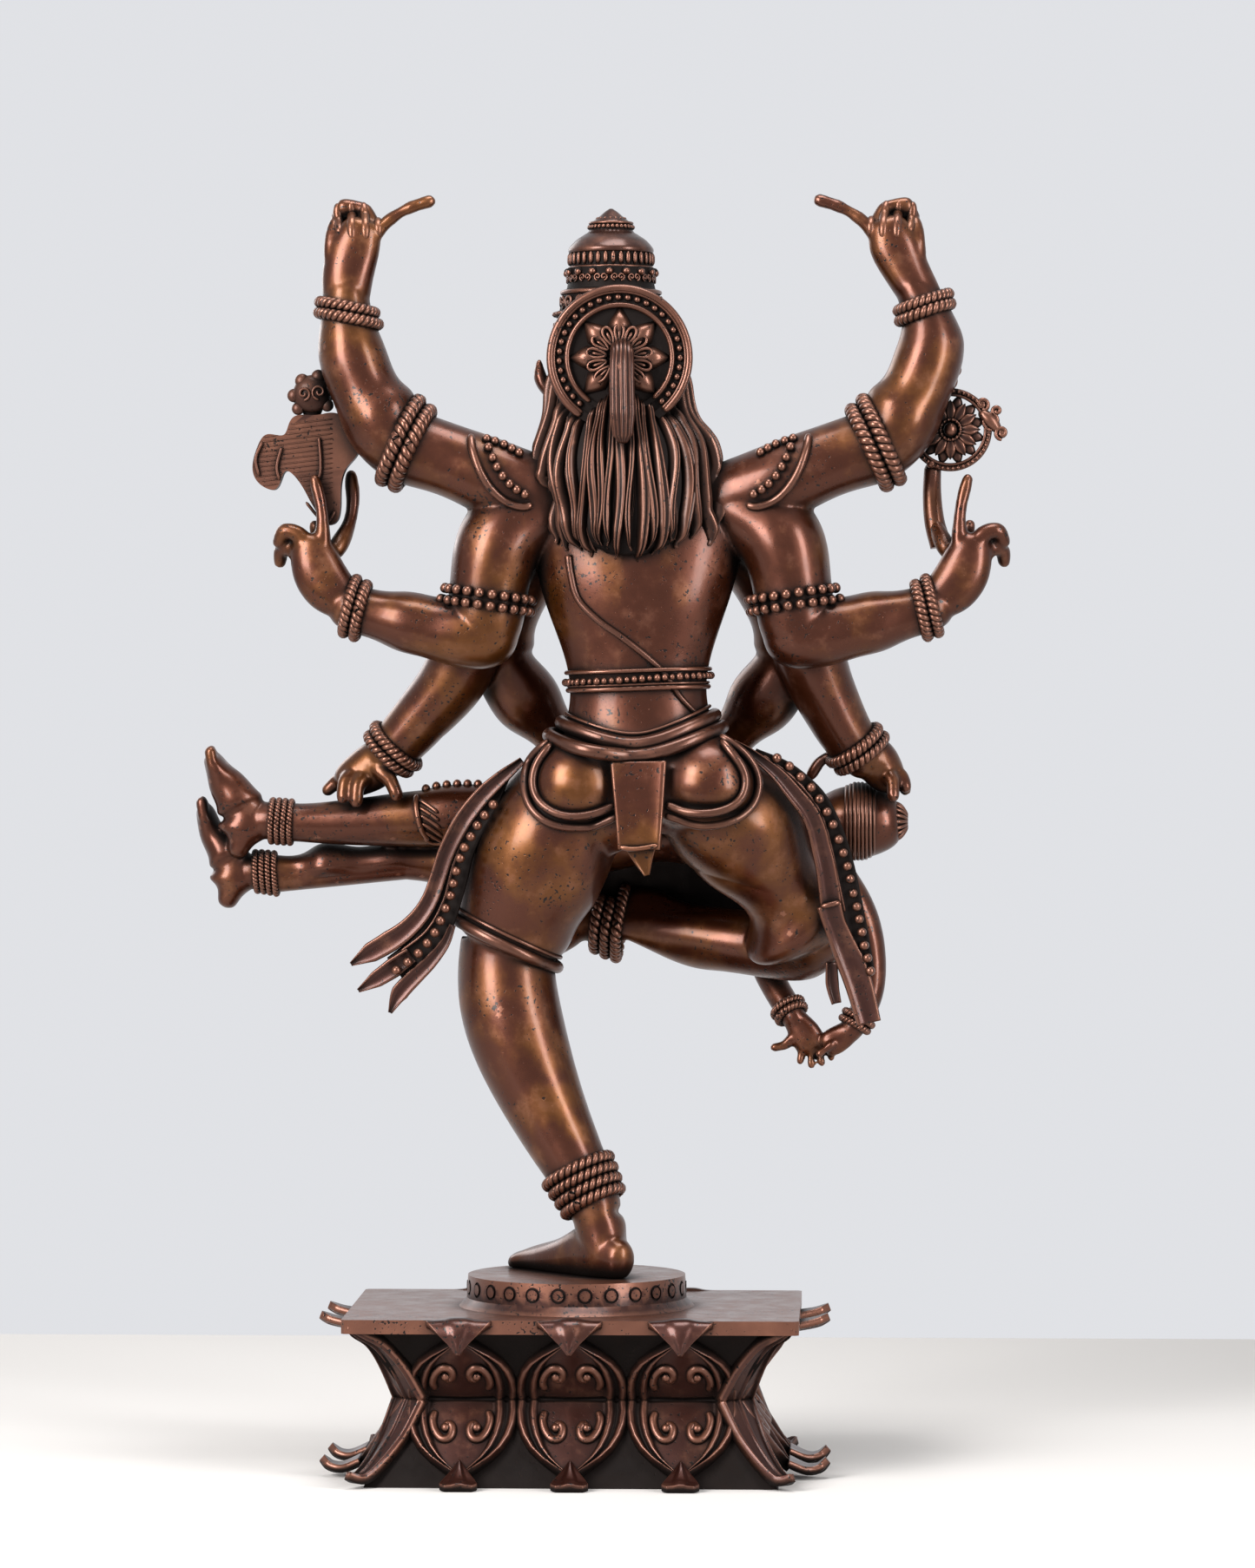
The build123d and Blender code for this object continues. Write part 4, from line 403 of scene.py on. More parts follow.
def patina(name, body, gold, worn=WORN, gloss=0.26, pores=0.2, gold_share=0.3, wear=0.6, coat=0.3, reach=6):
    """Brass with an antique patina: a brown body, golden patches and worn copper edges, with painted shade in
    its hollows.

    Hollows within reach of other metal, and concave creases, are painted dark as shade and lose their clear
    coat.
    """
    material = bpy.data.materials.new(name)
    material.use_nodes = True
    tree = material.node_tree
    tree.nodes.clear()
    node, link = tree.nodes.new, tree.links.new
    out, shader = node("ShaderNodeOutputMaterial"), node("ShaderNodeBsdfPrincipled")
    link(shader.outputs["BSDF"], out.inputs["Surface"])
    place = node("ShaderNodeTexCoord").outputs["Object"]

    def noise(scale, detail, rough=0.55):
        n = node("ShaderNodeTexNoise")
        n.inputs["Scale"].default_value = scale
        n.inputs["Detail"].default_value = detail
        n.inputs["Roughness"].default_value = rough
        link(place, n.inputs["Vector"])
        return n.outputs["Fac"]

    def ramp(value, *stops):
        """A share that eases from one (input, share) stop to the other."""
        r = node("ShaderNodeValToRGB")
        r.color_ramp.interpolation = "EASE"
        for element, (at, share) in zip(r.color_ramp.elements, stops):
            element.position = at
            element.color = (share, share, share, 1)
        link(value, r.inputs["Fac"])
        return r.outputs["Color"]

    def feed(socket, value):
        """Sets a socket to a number or a colour, or links another node's output to it."""
        if isinstance(value, tuple):
            socket.default_value = (*value, 1)
        elif isinstance(value, (int, float)):
            socket.default_value = value
        else:
            link(value, socket)

    def mix(share, a, b):
        m = node("ShaderNodeMix")
        m.data_type = "RGBA"
        for name, value in (("Factor", share), ("A", a), ("B", b)):
            feed(m.inputs[name], value)
        return m.outputs["Result"]

    def maths(kind, a, b):
        m = node("ShaderNodeMath")
        m.operation = kind
        for socket, value in zip(m.inputs, (a, b)):
            feed(socket, value)
        return m.outputs["Value"]

    clouds, spots, grain = noise(CLOUDS, 4), noise(SPOTS, 5, 0.62), noise(GRAIN, 3)
    pits = maths("ADD", noise(PITS, 1, 0.4), maths("MULTIPLY", noise(PIT_CLOUDS, 2), 0.45))
    edge = node("ShaderNodeNewGeometry").outputs["Pointiness"]
    # Ambient occlusion, which paints shade into the hollows below.
    hollow = node("ShaderNodeAmbientOcclusion")
    hollow.samples = 6
    hollow.inputs["Distance"].default_value = reach * MM
    hollow = hollow.outputs["AO"]

    patches = maths("ADD", clouds, maths("MULTIPLY", spots, 0.35))
    golden = ramp(patches, (0.78 - 0.3 * gold_share, 0), (0.95 - 0.2 * gold_share, 1))
    colour = mix(golden, body, gold)
    colour = mix(ramp(spots, (0.52, 0), (0.75, 0.35)), colour, worn)
    colour = mix(ramp(edge, (0.51, 0), (0.58, wear)), colour, worn)
    # Painted shade: hollows that other metal occludes, and concave creases, are darkened towards the shade
    # colour and lose their clear coat.
    lit = maths("MULTIPLY", ramp(hollow, (0.5, 0), (0.97, 1)), ramp(edge, (0.43, 0), (0.495, 1)))
    colour = mix(lit, SHADE_AND_PITS, colour)
    pore = ramp(pits, (0.47 + 0.03 * pores, 0), (0.53 + 0.03 * pores, 1))
    colour = mix(pore, SHADE_AND_PITS, colour)
    link(colour, shader.inputs["Base Color"])
    shader.inputs["Metallic"].default_value = METALLIC
    if coat:
        link(maths("MULTIPLY", lit, coat), shader.inputs["Coat Weight"])
        shader.inputs["Coat Roughness"].default_value = COAT_ROUGHNESS
    rough = mix(ramp(spots, (0.3, 0), (0.7, 1)), (gloss,) * 3, (gloss + 0.16,) * 3)
    rough = mix(lit, (HOLLOW_ROUGHNESS,) * 3, rough)
    link(rough, shader.inputs["Roughness"])
    texture = maths("ADD", maths("MULTIPLY", grain, 0.22), maths("MULTIPLY", spots, 0.5))
    bump = node("ShaderNodeBump")
    bump.inputs["Strength"].default_value = 0.35
    bump.inputs["Distance"].default_value = RELIEF * MM
    link(maths("ADD", pore, texture), bump.inputs["Height"])
    link(bump.outputs["Normal"], shader.inputs["Normal"])
    return material


FIGURE = patina("figure_patina", (0.062, 0.0145, 0.0045), (0.104, 0.033, 0.004), pores=0.6, gold_share=0.5)
ORNAMENT = patina("ornament_patina", (0.038, 0.011, 0.0055), (0.052, 0.018, 0.0065), reach=4)
PEDESTAL = patina(
    "pedestal_patina", (0.042, 0.011, 0.0065), (0.050, 0.015, 0.007),
    gloss=0.28, pores=0.8, gold_share=0.2, reach=8,
)
HAIR = patina("hair_patina", (0.026, 0.0078, 0.0037), (0.033, 0.011, 0.0037), reach=4)
DULL = patina(
    "dull_patina", (0.028, 0.0084, 0.005), (0.035, 0.012, 0.0055),
    gloss=0.42, pores=0.5, gold_share=0.2, wear=0.35, coat=0.15,
)
# Near-black brass without a coat, painted as the shade in recesses, behind raised ornament and between parts.
RECESS_SHADE = patina(
    "recess_painted_shade", (0.004, 0.002, 0.0015), (0.006, 0.003, 0.002), worn=(0.012, 0.006, 0.004),
    gloss=0.6, gold_share=0.2, wear=0.2, coat=0,
)
SLOT_MATERIALS = {
    "figure_brass": FIGURE, "ornament_brass": ORNAMENT, "pedestal_brass": PEDESTAL, "fixing_brass": ORNAMENT,
}
# Nodes that stay in view behind raised ornament, painted near-black as shade, and the conch's flat back.
NODE_MATERIALS = {"plinth_shell": RECESS_SHADE, "halo_ring": RECESS_SHADE, "crown": RECESS_SHADE, "conch": DULL}


def dress_nodes():
    for subpart in frame["record"]["subparts"]:
        mesh = NODES[subpart["node"]].data
        mesh.materials.clear()
        mesh.materials.append(NODE_MATERIALS.get(subpart["node"], SLOT_MATERIALS[subpart["material_slot"]]))


dress_nodes()


# ---------------------------------------------------------------- castings joined into one skin
CRUMB = 400  # a loose group of fewer points than this is dropped


def joined_skin(names, voxel, smoothing):
    """One mesh of several castings, their seams closed and softened."""
    work = bpy.data.objects.new("cast", gathered(names).mesh("cast"))
    bpy.context.scene.collection.objects.link(work)
    remesh = work.modifiers.new("skin", "REMESH")
    remesh.mode = "VOXEL"
    remesh.voxel_size = voxel * MM * 1
    soften = work.modifiers.new("soften", "SMOOTH")
    soften.factor = 0.5
    soften.iterations = smoothing
    bpy.context.view_layer.update()
    result = bpy.data.meshes.new_from_object(work.evaluated_get(bpy.context.evaluated_depsgraph_get()))
    bpy.data.objects.remove(work)
    drop_crumbs(result)
    return result


def drop_crumbs(mesh):
    """Deletes loose specks that thin fingertips leave behind."""
    work = bmesh.new()
    work.from_mesh(mesh)
    seen = np.zeros(len(work.verts), bool)
    crumbs = []
    for first in work.verts:
        if seen[first.index]:
            continue
        seen[first.index] = True
        group = [first]
        for vert in group:
            for edge in vert.link_edges:
                other = edge.other_vert(vert)
                if not seen[other.index]:
                    seen[other.index] = True
                    group.append(other)
        if len(group) < CRUMB:
            crumbs += group
    bmesh.ops.delete(work, geom=crumbs, context="VERTS")
    work.to_mesh(mesh)
    work.free()


def write_points(mesh, points):
    mesh.vertices.foreach_set("co", (points * MM).reshape(-1))
    mesh.update()


def even_out(mesh, centre, radius, rounds):
    """Smooths the part of a mesh within a radius of a point, less towards its rim."""
    points = mesh_points(mesh)
    reach = np.linalg.norm(points - centre, axis=1)
    amount = 0.6 * np.clip(1.6 * (1 - reach / radius), 0, 1)[:, None]
    inside = reach < radius * 1.05
    edges = np.empty(len(mesh.edges) * 2, int)
    mesh.edges.foreach_get("vertices", edges)
    edges = edges.reshape(-1, 2)
    edges = edges[inside[edges].all(axis=1)]
    count = np.maximum(1, np.bincount(edges.ravel(), minlength=len(points)))[:, None]
    for _ in range(rounds):
        total = np.zeros_like(points)
        np.add.at(total, edges[:, 0], points[edges[:, 1]])
        np.add.at(total, edges[:, 1], points[edges[:, 0]])
        points += amount * (total / count - points)
    write_points(mesh, points)


CROTCH = (4.0, 20.0, 50.0)  # x where the underside starts to rise, its highest place and where the rise ends
CROTCH_HEIGHTS = (88, 93, 103, 118)  # the rise is full between the middle two and fades out to the others
CROTCH_RISE = 9.0


def raise_crotch(mesh):
    """Lifts the underside between the thighs, which meet higher than the hips' casting reaches."""
    points = mesh_points(mesh)
    x, z = points[:, 0], points[:, 2] - STAND_Z
    share = np.interp(x, CROTCH, (0, 1, 0)) * np.interp(z, CROTCH_HEIGHTS, (0, 1, 1, 0))
    points[:, 2] += CROTCH_RISE * share
    write_points(mesh, points)


HAND_LEAN = -8.0  # how far the right raised hand leans in
HAND_BEND = (228, 252)  # heights between which its wrist bends
RIGHT_HAND_X = 50  # the hand is beyond this x


def lean_hand(mesh):
    """Bends the right raised hand in towards the crown."""
    points = mesh_points(mesh)
    rise = np.clip((points[:, 2] - STAND_Z - HAND_BEND[0]) / (HAND_BEND[1] - HAND_BEND[0]), 0, 1)
    points[:, 0] += HAND_LEAN * rise**2 * (3 - 2 * rise) * (points[:, 0] > RIGHT_HAND_X)
    write_points(mesh, points)


FAR_SHANK = (-82.0, -77.0, -44.0, -34.0)  # x where the far shank's slimmer stretch fades in and out
FAR_SHANK_RADIUS = 4.15
FAR_SHANK_Y = 27.2
FAR_SHANK_HEIGHTS = (96.9, 96.9, 100.2, 100.9)  # of its middle, at the same x
FAR_SHANK_REACH = 8.0


def slim_shank(mesh):
    """Draws the underside of the demon's far shank up to an even round."""
    points = mesh_points(mesh)
    x = points[:, 0]
    height = np.interp(x, FAR_SHANK, FAR_SHANK_HEIGHTS) + STAND_Z
    away = points - np.stack([x, np.full_like(x, FAR_SHANK_Y), height], axis=1)
    part = (np.linalg.norm(away, axis=1) < FAR_SHANK_REACH) & (x > FAR_SHANK[0]) & (x < FAR_SHANK[3])
    away = away[part]
    share = np.interp(x[part], FAR_SHANK, (0, 1, 1, 0)) * np.clip(0.3 - away[:, 2] / 3, 0, 1)
    points[part] += share[:, None] * (unit(away) * FAR_SHANK_RADIUS - away)
    write_points(mesh, points)


LEGS = [f"{leg}_{part}" for leg in ("standing", "raised") for part in ("thigh", "shin", "foot")]
ARM_KINDS = ("raised", "attribute", "lower", "front")
ARMS = [f"{kind}_arm_{side}" for kind in ARM_KINDS for side in ("left", "right")]
FIGURE_NODES = ["torso", "hips", *LEGS, "head", *ARMS]
DEMON_PARTS = ("trunk", "head", "near_thigh", "far_thigh", "near_leg", "far_leg", "arm_left", "arm_right")
DEMON_NODES = [f"demon_{part}" for part in DEMON_PARTS]
# Where seams between castings are evened out: the buttocks and the standing ankle.
SEATS = [on_stand(x, -14, 120.5) for x in (0.6, 32.4)]
SEAT_RADIUS = 19
ANKLE = on_stand(8, -6.5, 14.5)
ANKLE_RADIUS = 9
EVEN_ROUNDS = 60

figure = joined_skin(FIGURE_NODES, 0.5, 6)
raise_crotch(figure)
lean_hand(figure)
for seat in SEATS:
    even_out(figure, seat, SEAT_RADIUS, EVEN_ROUNDS // (1))
even_out(figure, ANKLE, ANKLE_RADIUS, EVEN_ROUNDS)
finish_piece(figure, "figure", FIGURE, FIGURE_NODES)
FIGURE_TREE = tree_of(mesh_points(figure), mesh_faces(figure))

demon = joined_skin(DEMON_NODES, 0.45, 5)
slim_shank(demon)
finish_piece(demon, "demon", FIGURE, DEMON_NODES)
DEMON_TREE = tree_of(mesh_points(demon), mesh_faces(demon))


# ---------------------------------------------------------------- twisted rings on the limbs
RINGS = [  # CAD node, piece and length of one twist
    ("bangles", "twisted_bangles", 2.9), ("anklets", "twisted_anklets", 3.4),
    ("elbow_ropes", "twisted_elbow_ropes", 3.8), ("demon_rings", "demon_twisted_rings", 1.9),
]
RAISED_WRISTS = 225  # bangles above this height are on the raised wrists
# Lean and rise of those on the left (-1) and the right (1), which sit square to the bent hands.
WRIST_LEANS = {-1: (0.20, 3.4), 1: (-0.34, 5.0)}


def hugging_ring(limbs, centre, axis, radius, cord_radius):
    """A ring's middle line drawn in to rest on the limb where the limb is slimmer than the ring."""
    outer = circle(centre, axis, radius + cord_radius)
    reaches = []
    for place in outer:
        hit = cast_ray(limbs, place, centre - place, radius + cord_radius)
        skin = np.linalg.norm(hit[0] - centre) if hit else 0.6 * radius
        reaches.append(np.clip(skin + 0.5 * cord_radius, 0.6 * radius, 1.1 * radius))
    reaches = np.array(reaches)
    for _ in range(4):
        eased = ease(reaches, 1)
        reaches = np.maximum(0.5 * (reaches + eased), eased)
    return centre + (outer - centre) * (reaches / (radius + cord_radius))[:, None]


def twisted_rings():
    for name, piece_name, pitch in RINGS:
        shape = Shape()
        limbs = DEMON_TREE if name == "demon_rings" else FIGURE_TREE
        for part in loose_parts(name):
            centre, axis, radius, cord_radius = ring_of(part)
            if name == "bangles" and centre[2] > STAND_Z + RAISED_WRISTS:
                lean, rise = WRIST_LEANS[1 if centre[0] > 0 else -1]
                axis = unit(vec(lean, axis[1] * np.sign(axis[2]), 1))
                centre = centre + vec(lean * rise, 0, rise)
            loop = hugging_ring(limbs, centre, axis, radius, cord_radius)
            rope(shape, loop, cord_radius * 1.1, pitch)
        shape.ornament(piece_name, name)


twisted_rings()


# ---------------------------------------------------------------- pedestal
SLAB_LOW, SLAB_HIGH = corners("top_slab")
BASE_HALF = corners("plinth_shell")[1][:2] - vec(0.5, 0)  # half length and half width at the ground
WAIST_Z = 20.6
WAIST_HALF = vec(40.0, 23.5)  # half length and half width where the petal rows meet
LONG_PETALS, SHORT_PETALS = 3, 2
PETAL_COLUMNS, PETAL_ROWS = 57, 40
PETAL_DOME = 0.7
WAIST_GROOVE = 0.8  # each row starts this far above or below the line where they meet
# Share of full width at shares of length: a petal is a pointed arch, and its lip a drooping triangle.
ARCH = ((0, 0.15, 0.3, 0.45, 0.6, 0.74, 0.87, 0.95, 1), (0.98, 1.0, 0.97, 0.89, 0.75, 0.54, 0.29, 0.12, 0.02))
LIP = ((0, 0.25, 0.5, 0.75, 1), (1.0, 0.96, 0.66, 0.32, 0.06))
FACET = ((0, 0.3, 0.65, 0.85, 1), (0.08, 0.42, 0.85, 1.0, 0.7))
FINGER = ((0, 0.3, 0.6, 0.85, 1), (1.0, 0.85, 0.6, 0.42, 0.1))
# Place across the petal, width and height of each raised rim.
RIMS = ((0.91, 0.075, 1.5), (0.68, 0.07, 1.3))
LEAF_RIMS = ((0.86, 0.1, 0.8), (0.0, 0.1, 0.5))
TIP_RIMS = ((0, 0.4, 0.4),)
# A curl on each half of a petal, as shares of half width and of length.
VOLUTE = [
    (0.47, 0.12), (0.52, 0.22), (0.5, 0.35), (0.41, 0.45), (0.28, 0.46), (0.18, 0.40), (0.17, 0.31),
    (0.24, 0.27), (0.29, 0.32),
]
# Petal profiles from waist to edge, as shares of the flared wall's width and height.
UPPER_PROFILE = ((0.2, 0.28), (0.5, 0.6), (0.78, 0.85), (1, 1))
LOWER_PROFILE = ((0.22, 0.28), (0.5, 0.58), (0.77, 0.85), (1, 1))
# Petal tips on the sides that face X, then Y: points by distance out from the slab or the base and by height,
# then width shares and half width.
UPPER_TIPS = (
    (((-4.6, -1.0), (0, -0.2), (4, 0.6), (7.2, 1.8)), FINGER, 5.0),
    (((-2.0, 2.7), (0.8, 2.6), (2.4, 0.6), (2.8, -2.0), (3.2, -4.6)), LIP, 8.0),
)
LOWER_TIPS = (
    (((2.0, 4.0), (6.4, 2.2), (9.6, 2.5), (12, 4.4)), FINGER, 5.4),
    (((0.6, 6.4), (3.0, 3.8), (5.4, 1.9), (7.6, 1.2)), FACET, 4.6),
)
# Corner leaves, as distances out and heights from the waist line.
CORNER_LEAVES = (
    ((0, 0), (5, 8), (10.5, 14), (16.5, 17.2), (20, 19)),
    ((0, 0), (5.5, -9), (11.5, -15.4), (16, -18.2), (20, -17)),
)


def sheet_solid(shape, front, back):
    """Adds a closed solid between two grids of points with the same rows and columns."""
    rows, columns = front.shape[:2]

    def at(i, j, side):
        return side * rows * columns + i * columns + j

    faces = []
    for i in range(rows - 1):
        for j in range(columns - 1):
            faces.append((at(i, j, 0), at(i, j + 1, 0), at(i + 1, j + 1, 0), at(i + 1, j, 0)))
            faces.append((at(i, j, 1), at(i + 1, j, 1), at(i + 1, j + 1, 1), at(i, j + 1, 1)))
    for i in range(rows - 1):
        for j in (0, columns - 1):
            faces.append((at(i, j, 0), at(i + 1, j, 0), at(i + 1, j, 1), at(i, j, 1)))
    for j in range(columns - 1):
        for i in (0, rows - 1):
            faces.append((at(i, j, 0), at(i, j, 1), at(i, j + 1, 1), at(i, j + 1, 0)))
    shape.add(np.vstack([front.reshape(-1, 3), back.reshape(-1, 3)]), faces)


def petal(shape, profile, outward, sideways, half, span=ARCH, rims=RIMS, dome=PETAL_DOME, volutes=False):
    """Adds a lotus petal. Its profile runs from the waist to the tip, as distances outward and heights."""
    spine = smooth_path([vec(reach, height, 0) for reach, height in profile], 0.3)
    shares = np.linspace(0, 1, PETAL_ROWS) ** 0.9
    reach, height = (np.interp(shares, along(spine), spine[:, k]) for k in (0, 1))
    run, rise = np.gradient(reach), np.gradient(height)
    size = np.hypot(run, rise)
    up = 1 if profile[-1][1] > profile[0][1] else -1
    facing = np.stack([up * rise / size, -up * run / size], axis=1)
    across = np.linspace(-1, 1, PETAL_COLUMNS)
    width = half * np.interp(shares, *span)
    relief = dome * (1 - np.abs(across) ** 1.5)
    for place, spread, tall in rims:
        relief = relief + tall * np.exp(-(((np.abs(across) - place) / spread) ** 4))
    fade = np.clip((1 - shares) / 0.2, 0, 1) ** 0.6

    def grid(lift):
        out = reach[:, None] + facing[:, 0, None] * lift
        high = height[:, None] + facing[:, 1, None] * lift
        flat = out[..., None] * vec(*outward, 0) + high[..., None] * vec(0, 0, 1)
        return flat + (width[:, None] * across)[..., None] * vec(*sideways, 0)

    front = 0.5 + relief[None, :] * (0.3 + 0.7 * fade[:, None])
    sheet_solid(shape, grid(front), grid(np.full_like(front, -1.2)))

    def on_petal(side, away, length):
        i = min(int(length * (PETAL_ROWS - 1)), PETAL_ROWS - 2)
        share = length * (PETAL_ROWS - 1) - i
        mixed = [(1 - share) * row[i] + share * row[i + 1] for row in (reach, height, width)]
        top = 0.5 + dome * (1 - away**1.5) * (0.3 + 0.7 * fade[i]) + 0.15
        out = mixed[0] + facing[i, 0] * top
        high = mixed[1] + facing[i, 1] * top
        return vec(*(out * vec(*outward) + side * away * mixed[2] * vec(*sideways)), high)

    for side in (-1, 1) if volutes else ():
        points = [on_petal(side, away, length) for away, length in VOLUTE]
        cord(shape, points, 1.1, sides=9, step=0.4, ends=0.7)
        bead(shape, points[-1], 1.3)


def wall(half, foot, points):
    """Distances outward and heights of a profile on the flared wall, from the groove at the waist."""
    groove = WAIST_GROOVE / (SLAB_LOW[2] - WAIST_Z)
    wide, high = foot[0] - half, foot[1] - WAIST_Z
    return [(half + wide * out, WAIST_Z + high * up) for out, up in ((0, groove), *points)]


def row_forms(axis):
    """Profiles, width shares and half widths of the petals and tips on the sides that face X (0) or Y (1)."""
    waist, under, slab, base = WAIST_HALF[axis] - 0.4, SLAB_LOW[2], SLAB_HIGH[axis], BASE_HALF[axis]
    forms = []
    for foot, profile, edge, (tip, span, half) in (
        ((slab - 3.0, under - 1.0), UPPER_PROFILE, (slab, under), UPPER_TIPS[axis]),
        ((base + 2.6, 2.6), LOWER_PROFILE, (base, 0), LOWER_TIPS[axis]),
    ):
        tip = [(edge[0] + out, edge[1] + up) for out, up in tip]
        forms.append((wall(waist, foot, profile), tip, span, half))
    return forms


def petal_rows(upper, lower):
    for axis, count in ((1, LONG_PETALS), (0, SHORT_PETALS)):
        pitch = 2 * WAIST_HALF[1 - axis] / count
        forms = row_forms(axis)
        for sign in (-1, 1):
            outward = vec(0, sign) if axis else vec(sign, 0)
            sideways = vec(1, 0) if axis else vec(0, 1)
            for i in range(count):
                shift = (i - (count - 1) / 2) * pitch
                for shape, (profile, tip, span, half) in zip((upper, lower), forms):
                    first = len(shape.rows)
                    petal(shape, profile, outward, sideways, 0.515 * pitch, volutes=True)
                    petal(shape, tip, outward, sideways, half, span, TIP_RIMS, 0.4)
                    shape.move(first, vec(*(sideways * shift), 0))


def corner_leaves(leaves):
    for x_side in (-1, 1):
        for y_side in (-1, 1):
            outward = unit(vec(x_side, y_side))
            sideways = vec(-outward[1], outward[0])
            start = vec(x_side * (WAIST_HALF[0] - 0.6), y_side * (WAIST_HALF[1] - 0.6), 0)
            for leaf in CORNER_LEAVES:
                first = len(leaves.rows)
                profile = [(out, WAIST_Z + up) for out, up in leaf]
                petal(leaves, profile, outward, sideways, 5.6, FINGER, LEAF_RIMS, 0.6)
                leaves.move(first, start)


def lotus():
    upper, lower, leaves = Shape(), Shape(), Shape()
    petal_rows(upper, lower)
    corner_leaves(leaves)
    upper.piece("lotus_upper", PEDESTAL, "pedestal_brass", ["upper_petals"])
    lower.piece("lotus_lower", PEDESTAL, "pedestal_brass", ["lower_petals"])
    leaves.piece("lotus_corners", PEDESTAL, "pedestal_brass", ["corner_leaves"])
    worn = NODES["top_slab"].modifiers.new("worn edges", "BEVEL")
    worn.width = 0.6 * MM
    worn.segments = 3
    worn.limit_method = "ANGLE"
    worn.angle_limit = radians(35)


lotus()


# ---------------------------------------------------------------- mane
MANE_AXIS = vec(11.6, -3.0)
MANE_TOP = 224.0
MANE_FOOT = 178.2
LOCKS = 27
LOCK_STEPS = 18
MANE_TURN, MANE_SWEEP = -204, 228  # degrees about the axis to the first lock, and on to the last
# A lock's section: two ridges with a groove between them.
LOCK_OUTLINE = [
    (-1.0, -0.9), (-1.0, 0.0), (-0.82, 0.62), (-0.5, 0.98), (-0.2, 0.98), (-0.04, 0.76), (0.14, 0.8),
    (0.34, 1.05), (0.6, 0.95), (0.86, 0.5), (1.0, 0.0), (1.0, -0.9),
]
HALO_LOW, HALO_HIGH = corners("halo_ring")  # the ray disc
HALO_GAP = (240, 306)  # degrees round the disc where the hair isn't let in
HALO_RADIUS = (HALO_HIGH[0] - HALO_LOW[0]) / 2
HALO_CENTRE = vec((HALO_HIGH[0] + HALO_LOW[0]) / 2, HALO_LOW[1] + 1.0, HALO_HIGH[2] - HALO_RADIUS)


def lock_course(hair, turn, start, end, wave, phase, lift):
    """Points swaying down the hair at a turn about its axis, raised by lift and let in under the ray disc."""
    points = []
    for t in np.linspace(0, 1, LOCK_STEPS):
        z = start + (end - start) * t
        lean = turn + wave * sin(phase + t * 7.5) * (0.4 + 0.6 * t)
        outward = vec(cos(lean), sin(lean), 0)
        hit = cast_ray(hair, vec(*MANE_AXIS, z + STAND_Z) + outward * 60, -outward)
        if hit is None:
            continue
        place = hit[0] + outward * lift
        x, z = place[0] - HALO_CENTRE[0], place[2] - HALO_CENTRE[2]
        in_gap = HALO_GAP[0] < np.degrees(np.arctan2(z, x)) % 360 < HALO_GAP[1]
        if place[1] < -8 and np.hypot(x, z) < HALO_RADIUS + 0.8 and not in_gap:
            place = place - outward * 1.8
        points.append(place)
    return points


def mane():
    # The mane's core is near-black, painted as the shade in the gaps between the locks.
    finish_piece(joined_skin(["mane"], 0.6, 4), "mane_base", RECESS_SHADE, ["mane"])
    hair = surface("mane", "torso")
    locks, strands = Shape(), Shape()
    for layer, shape in enumerate((locks, strands)):
        for i in range(LOCKS):
            share = (i + RNG.uniform(-0.2, 0.2)) / (LOCKS - 1)
            turn = radians(MANE_TURN + MANE_SWEEP * share)
            back = max(0.0, cos(turn + pi / 2))  # 1 straight behind, 0 at the sides
            end = MANE_FOOT + 9 * (1 - back) ** 2 + RNG.uniform(-2.0, 2.2) + layer * RNG.uniform(-0.5, 2)
            start = MANE_TOP - RNG.uniform(0, 3)
            wave, phase = RNG.uniform(0.03, 0.07), RNG.uniform(0, tau)
            points = lock_course(hair, turn, start, end, wave, phase, -0.7 if layer else 0.5)
            if len(points) < 5:
                continue
            tip = points[-1] - points[-2]
            points += [points[-1] + tip * 0.35 + vec(0.6 * RNG.choice((-1, 1)), -0.3 * back, -0.4)]
            path = smooth_path(points, 0.7)
            t = along(path)
            size = 0.5 if layer else RNG.uniform(0.8, 1.45)
            swell = 1 + 0.16 * np.sin(phase + 9 * t)
            wide = size * (0.55 + 0.75 * t**0.8) * swell * np.clip((1 - t) / 0.17, 0.1, 1) ** 0.8
            tall = (0.9 if layer else 1.9) * (0.7 + 0.3 * t) * np.clip((1 - t) / 0.08, 0.3, 1)
            tops = unit((path - vec(*MANE_AXIS, 0)) * vec(1, 1, 0))
            sweep(shape, path, LOCK_OUTLINE, np.stack([wide, tall], axis=1), up=tops)
    locks.piece("mane_locks", HAIR, "figure_brass")
    strands.piece("mane_strands", HAIR, "figure_brass")


mane()


# ---------------------------------------------------------------- ray disc behind the crown
HALO_RAYS = 8
RAY_RIM = [(4.6, -2.2, 0.2), (8.0, -3.0, 0.2), (13.0, 0, 0.3), (8.0, 3.0, 0.2), (4.6, 2.2, 0.2)]
RAY_RIDGE = [(4.6, 0, 2.8), (8.2, 0, 3.5)]
RAY_FACES = [(0, 1, 6, 5), (1, 2, 6), (2, 3, 6), (3, 4, 5, 6), (4, 0, 5), (7, 8, 9, 10, 11)]
ROSETTE_LEAVES = 11


def disc_point(radius, angle, lift):
    return HALO_CENTRE + vec(radius * cos(angle), -lift, radius * sin(angle))


def halo_rim():
    shape = Shape()
    for angle in np.arange(radians(-46), radians(232), 2.35 / 14.7):
        bead(shape, disc_point(14.75, angle, 0.35), 0.92)
    for radius, size in ((16.9, 0.95), (16.1, 0.5), (12.8, 0.7)):
        arc = [disc_point(radius, a, 1.0) for a in np.linspace(radians(-50), radians(236), 60)]
        cord(shape, arc, size, ends=0.6)
    shape.ornament("halo_beads")


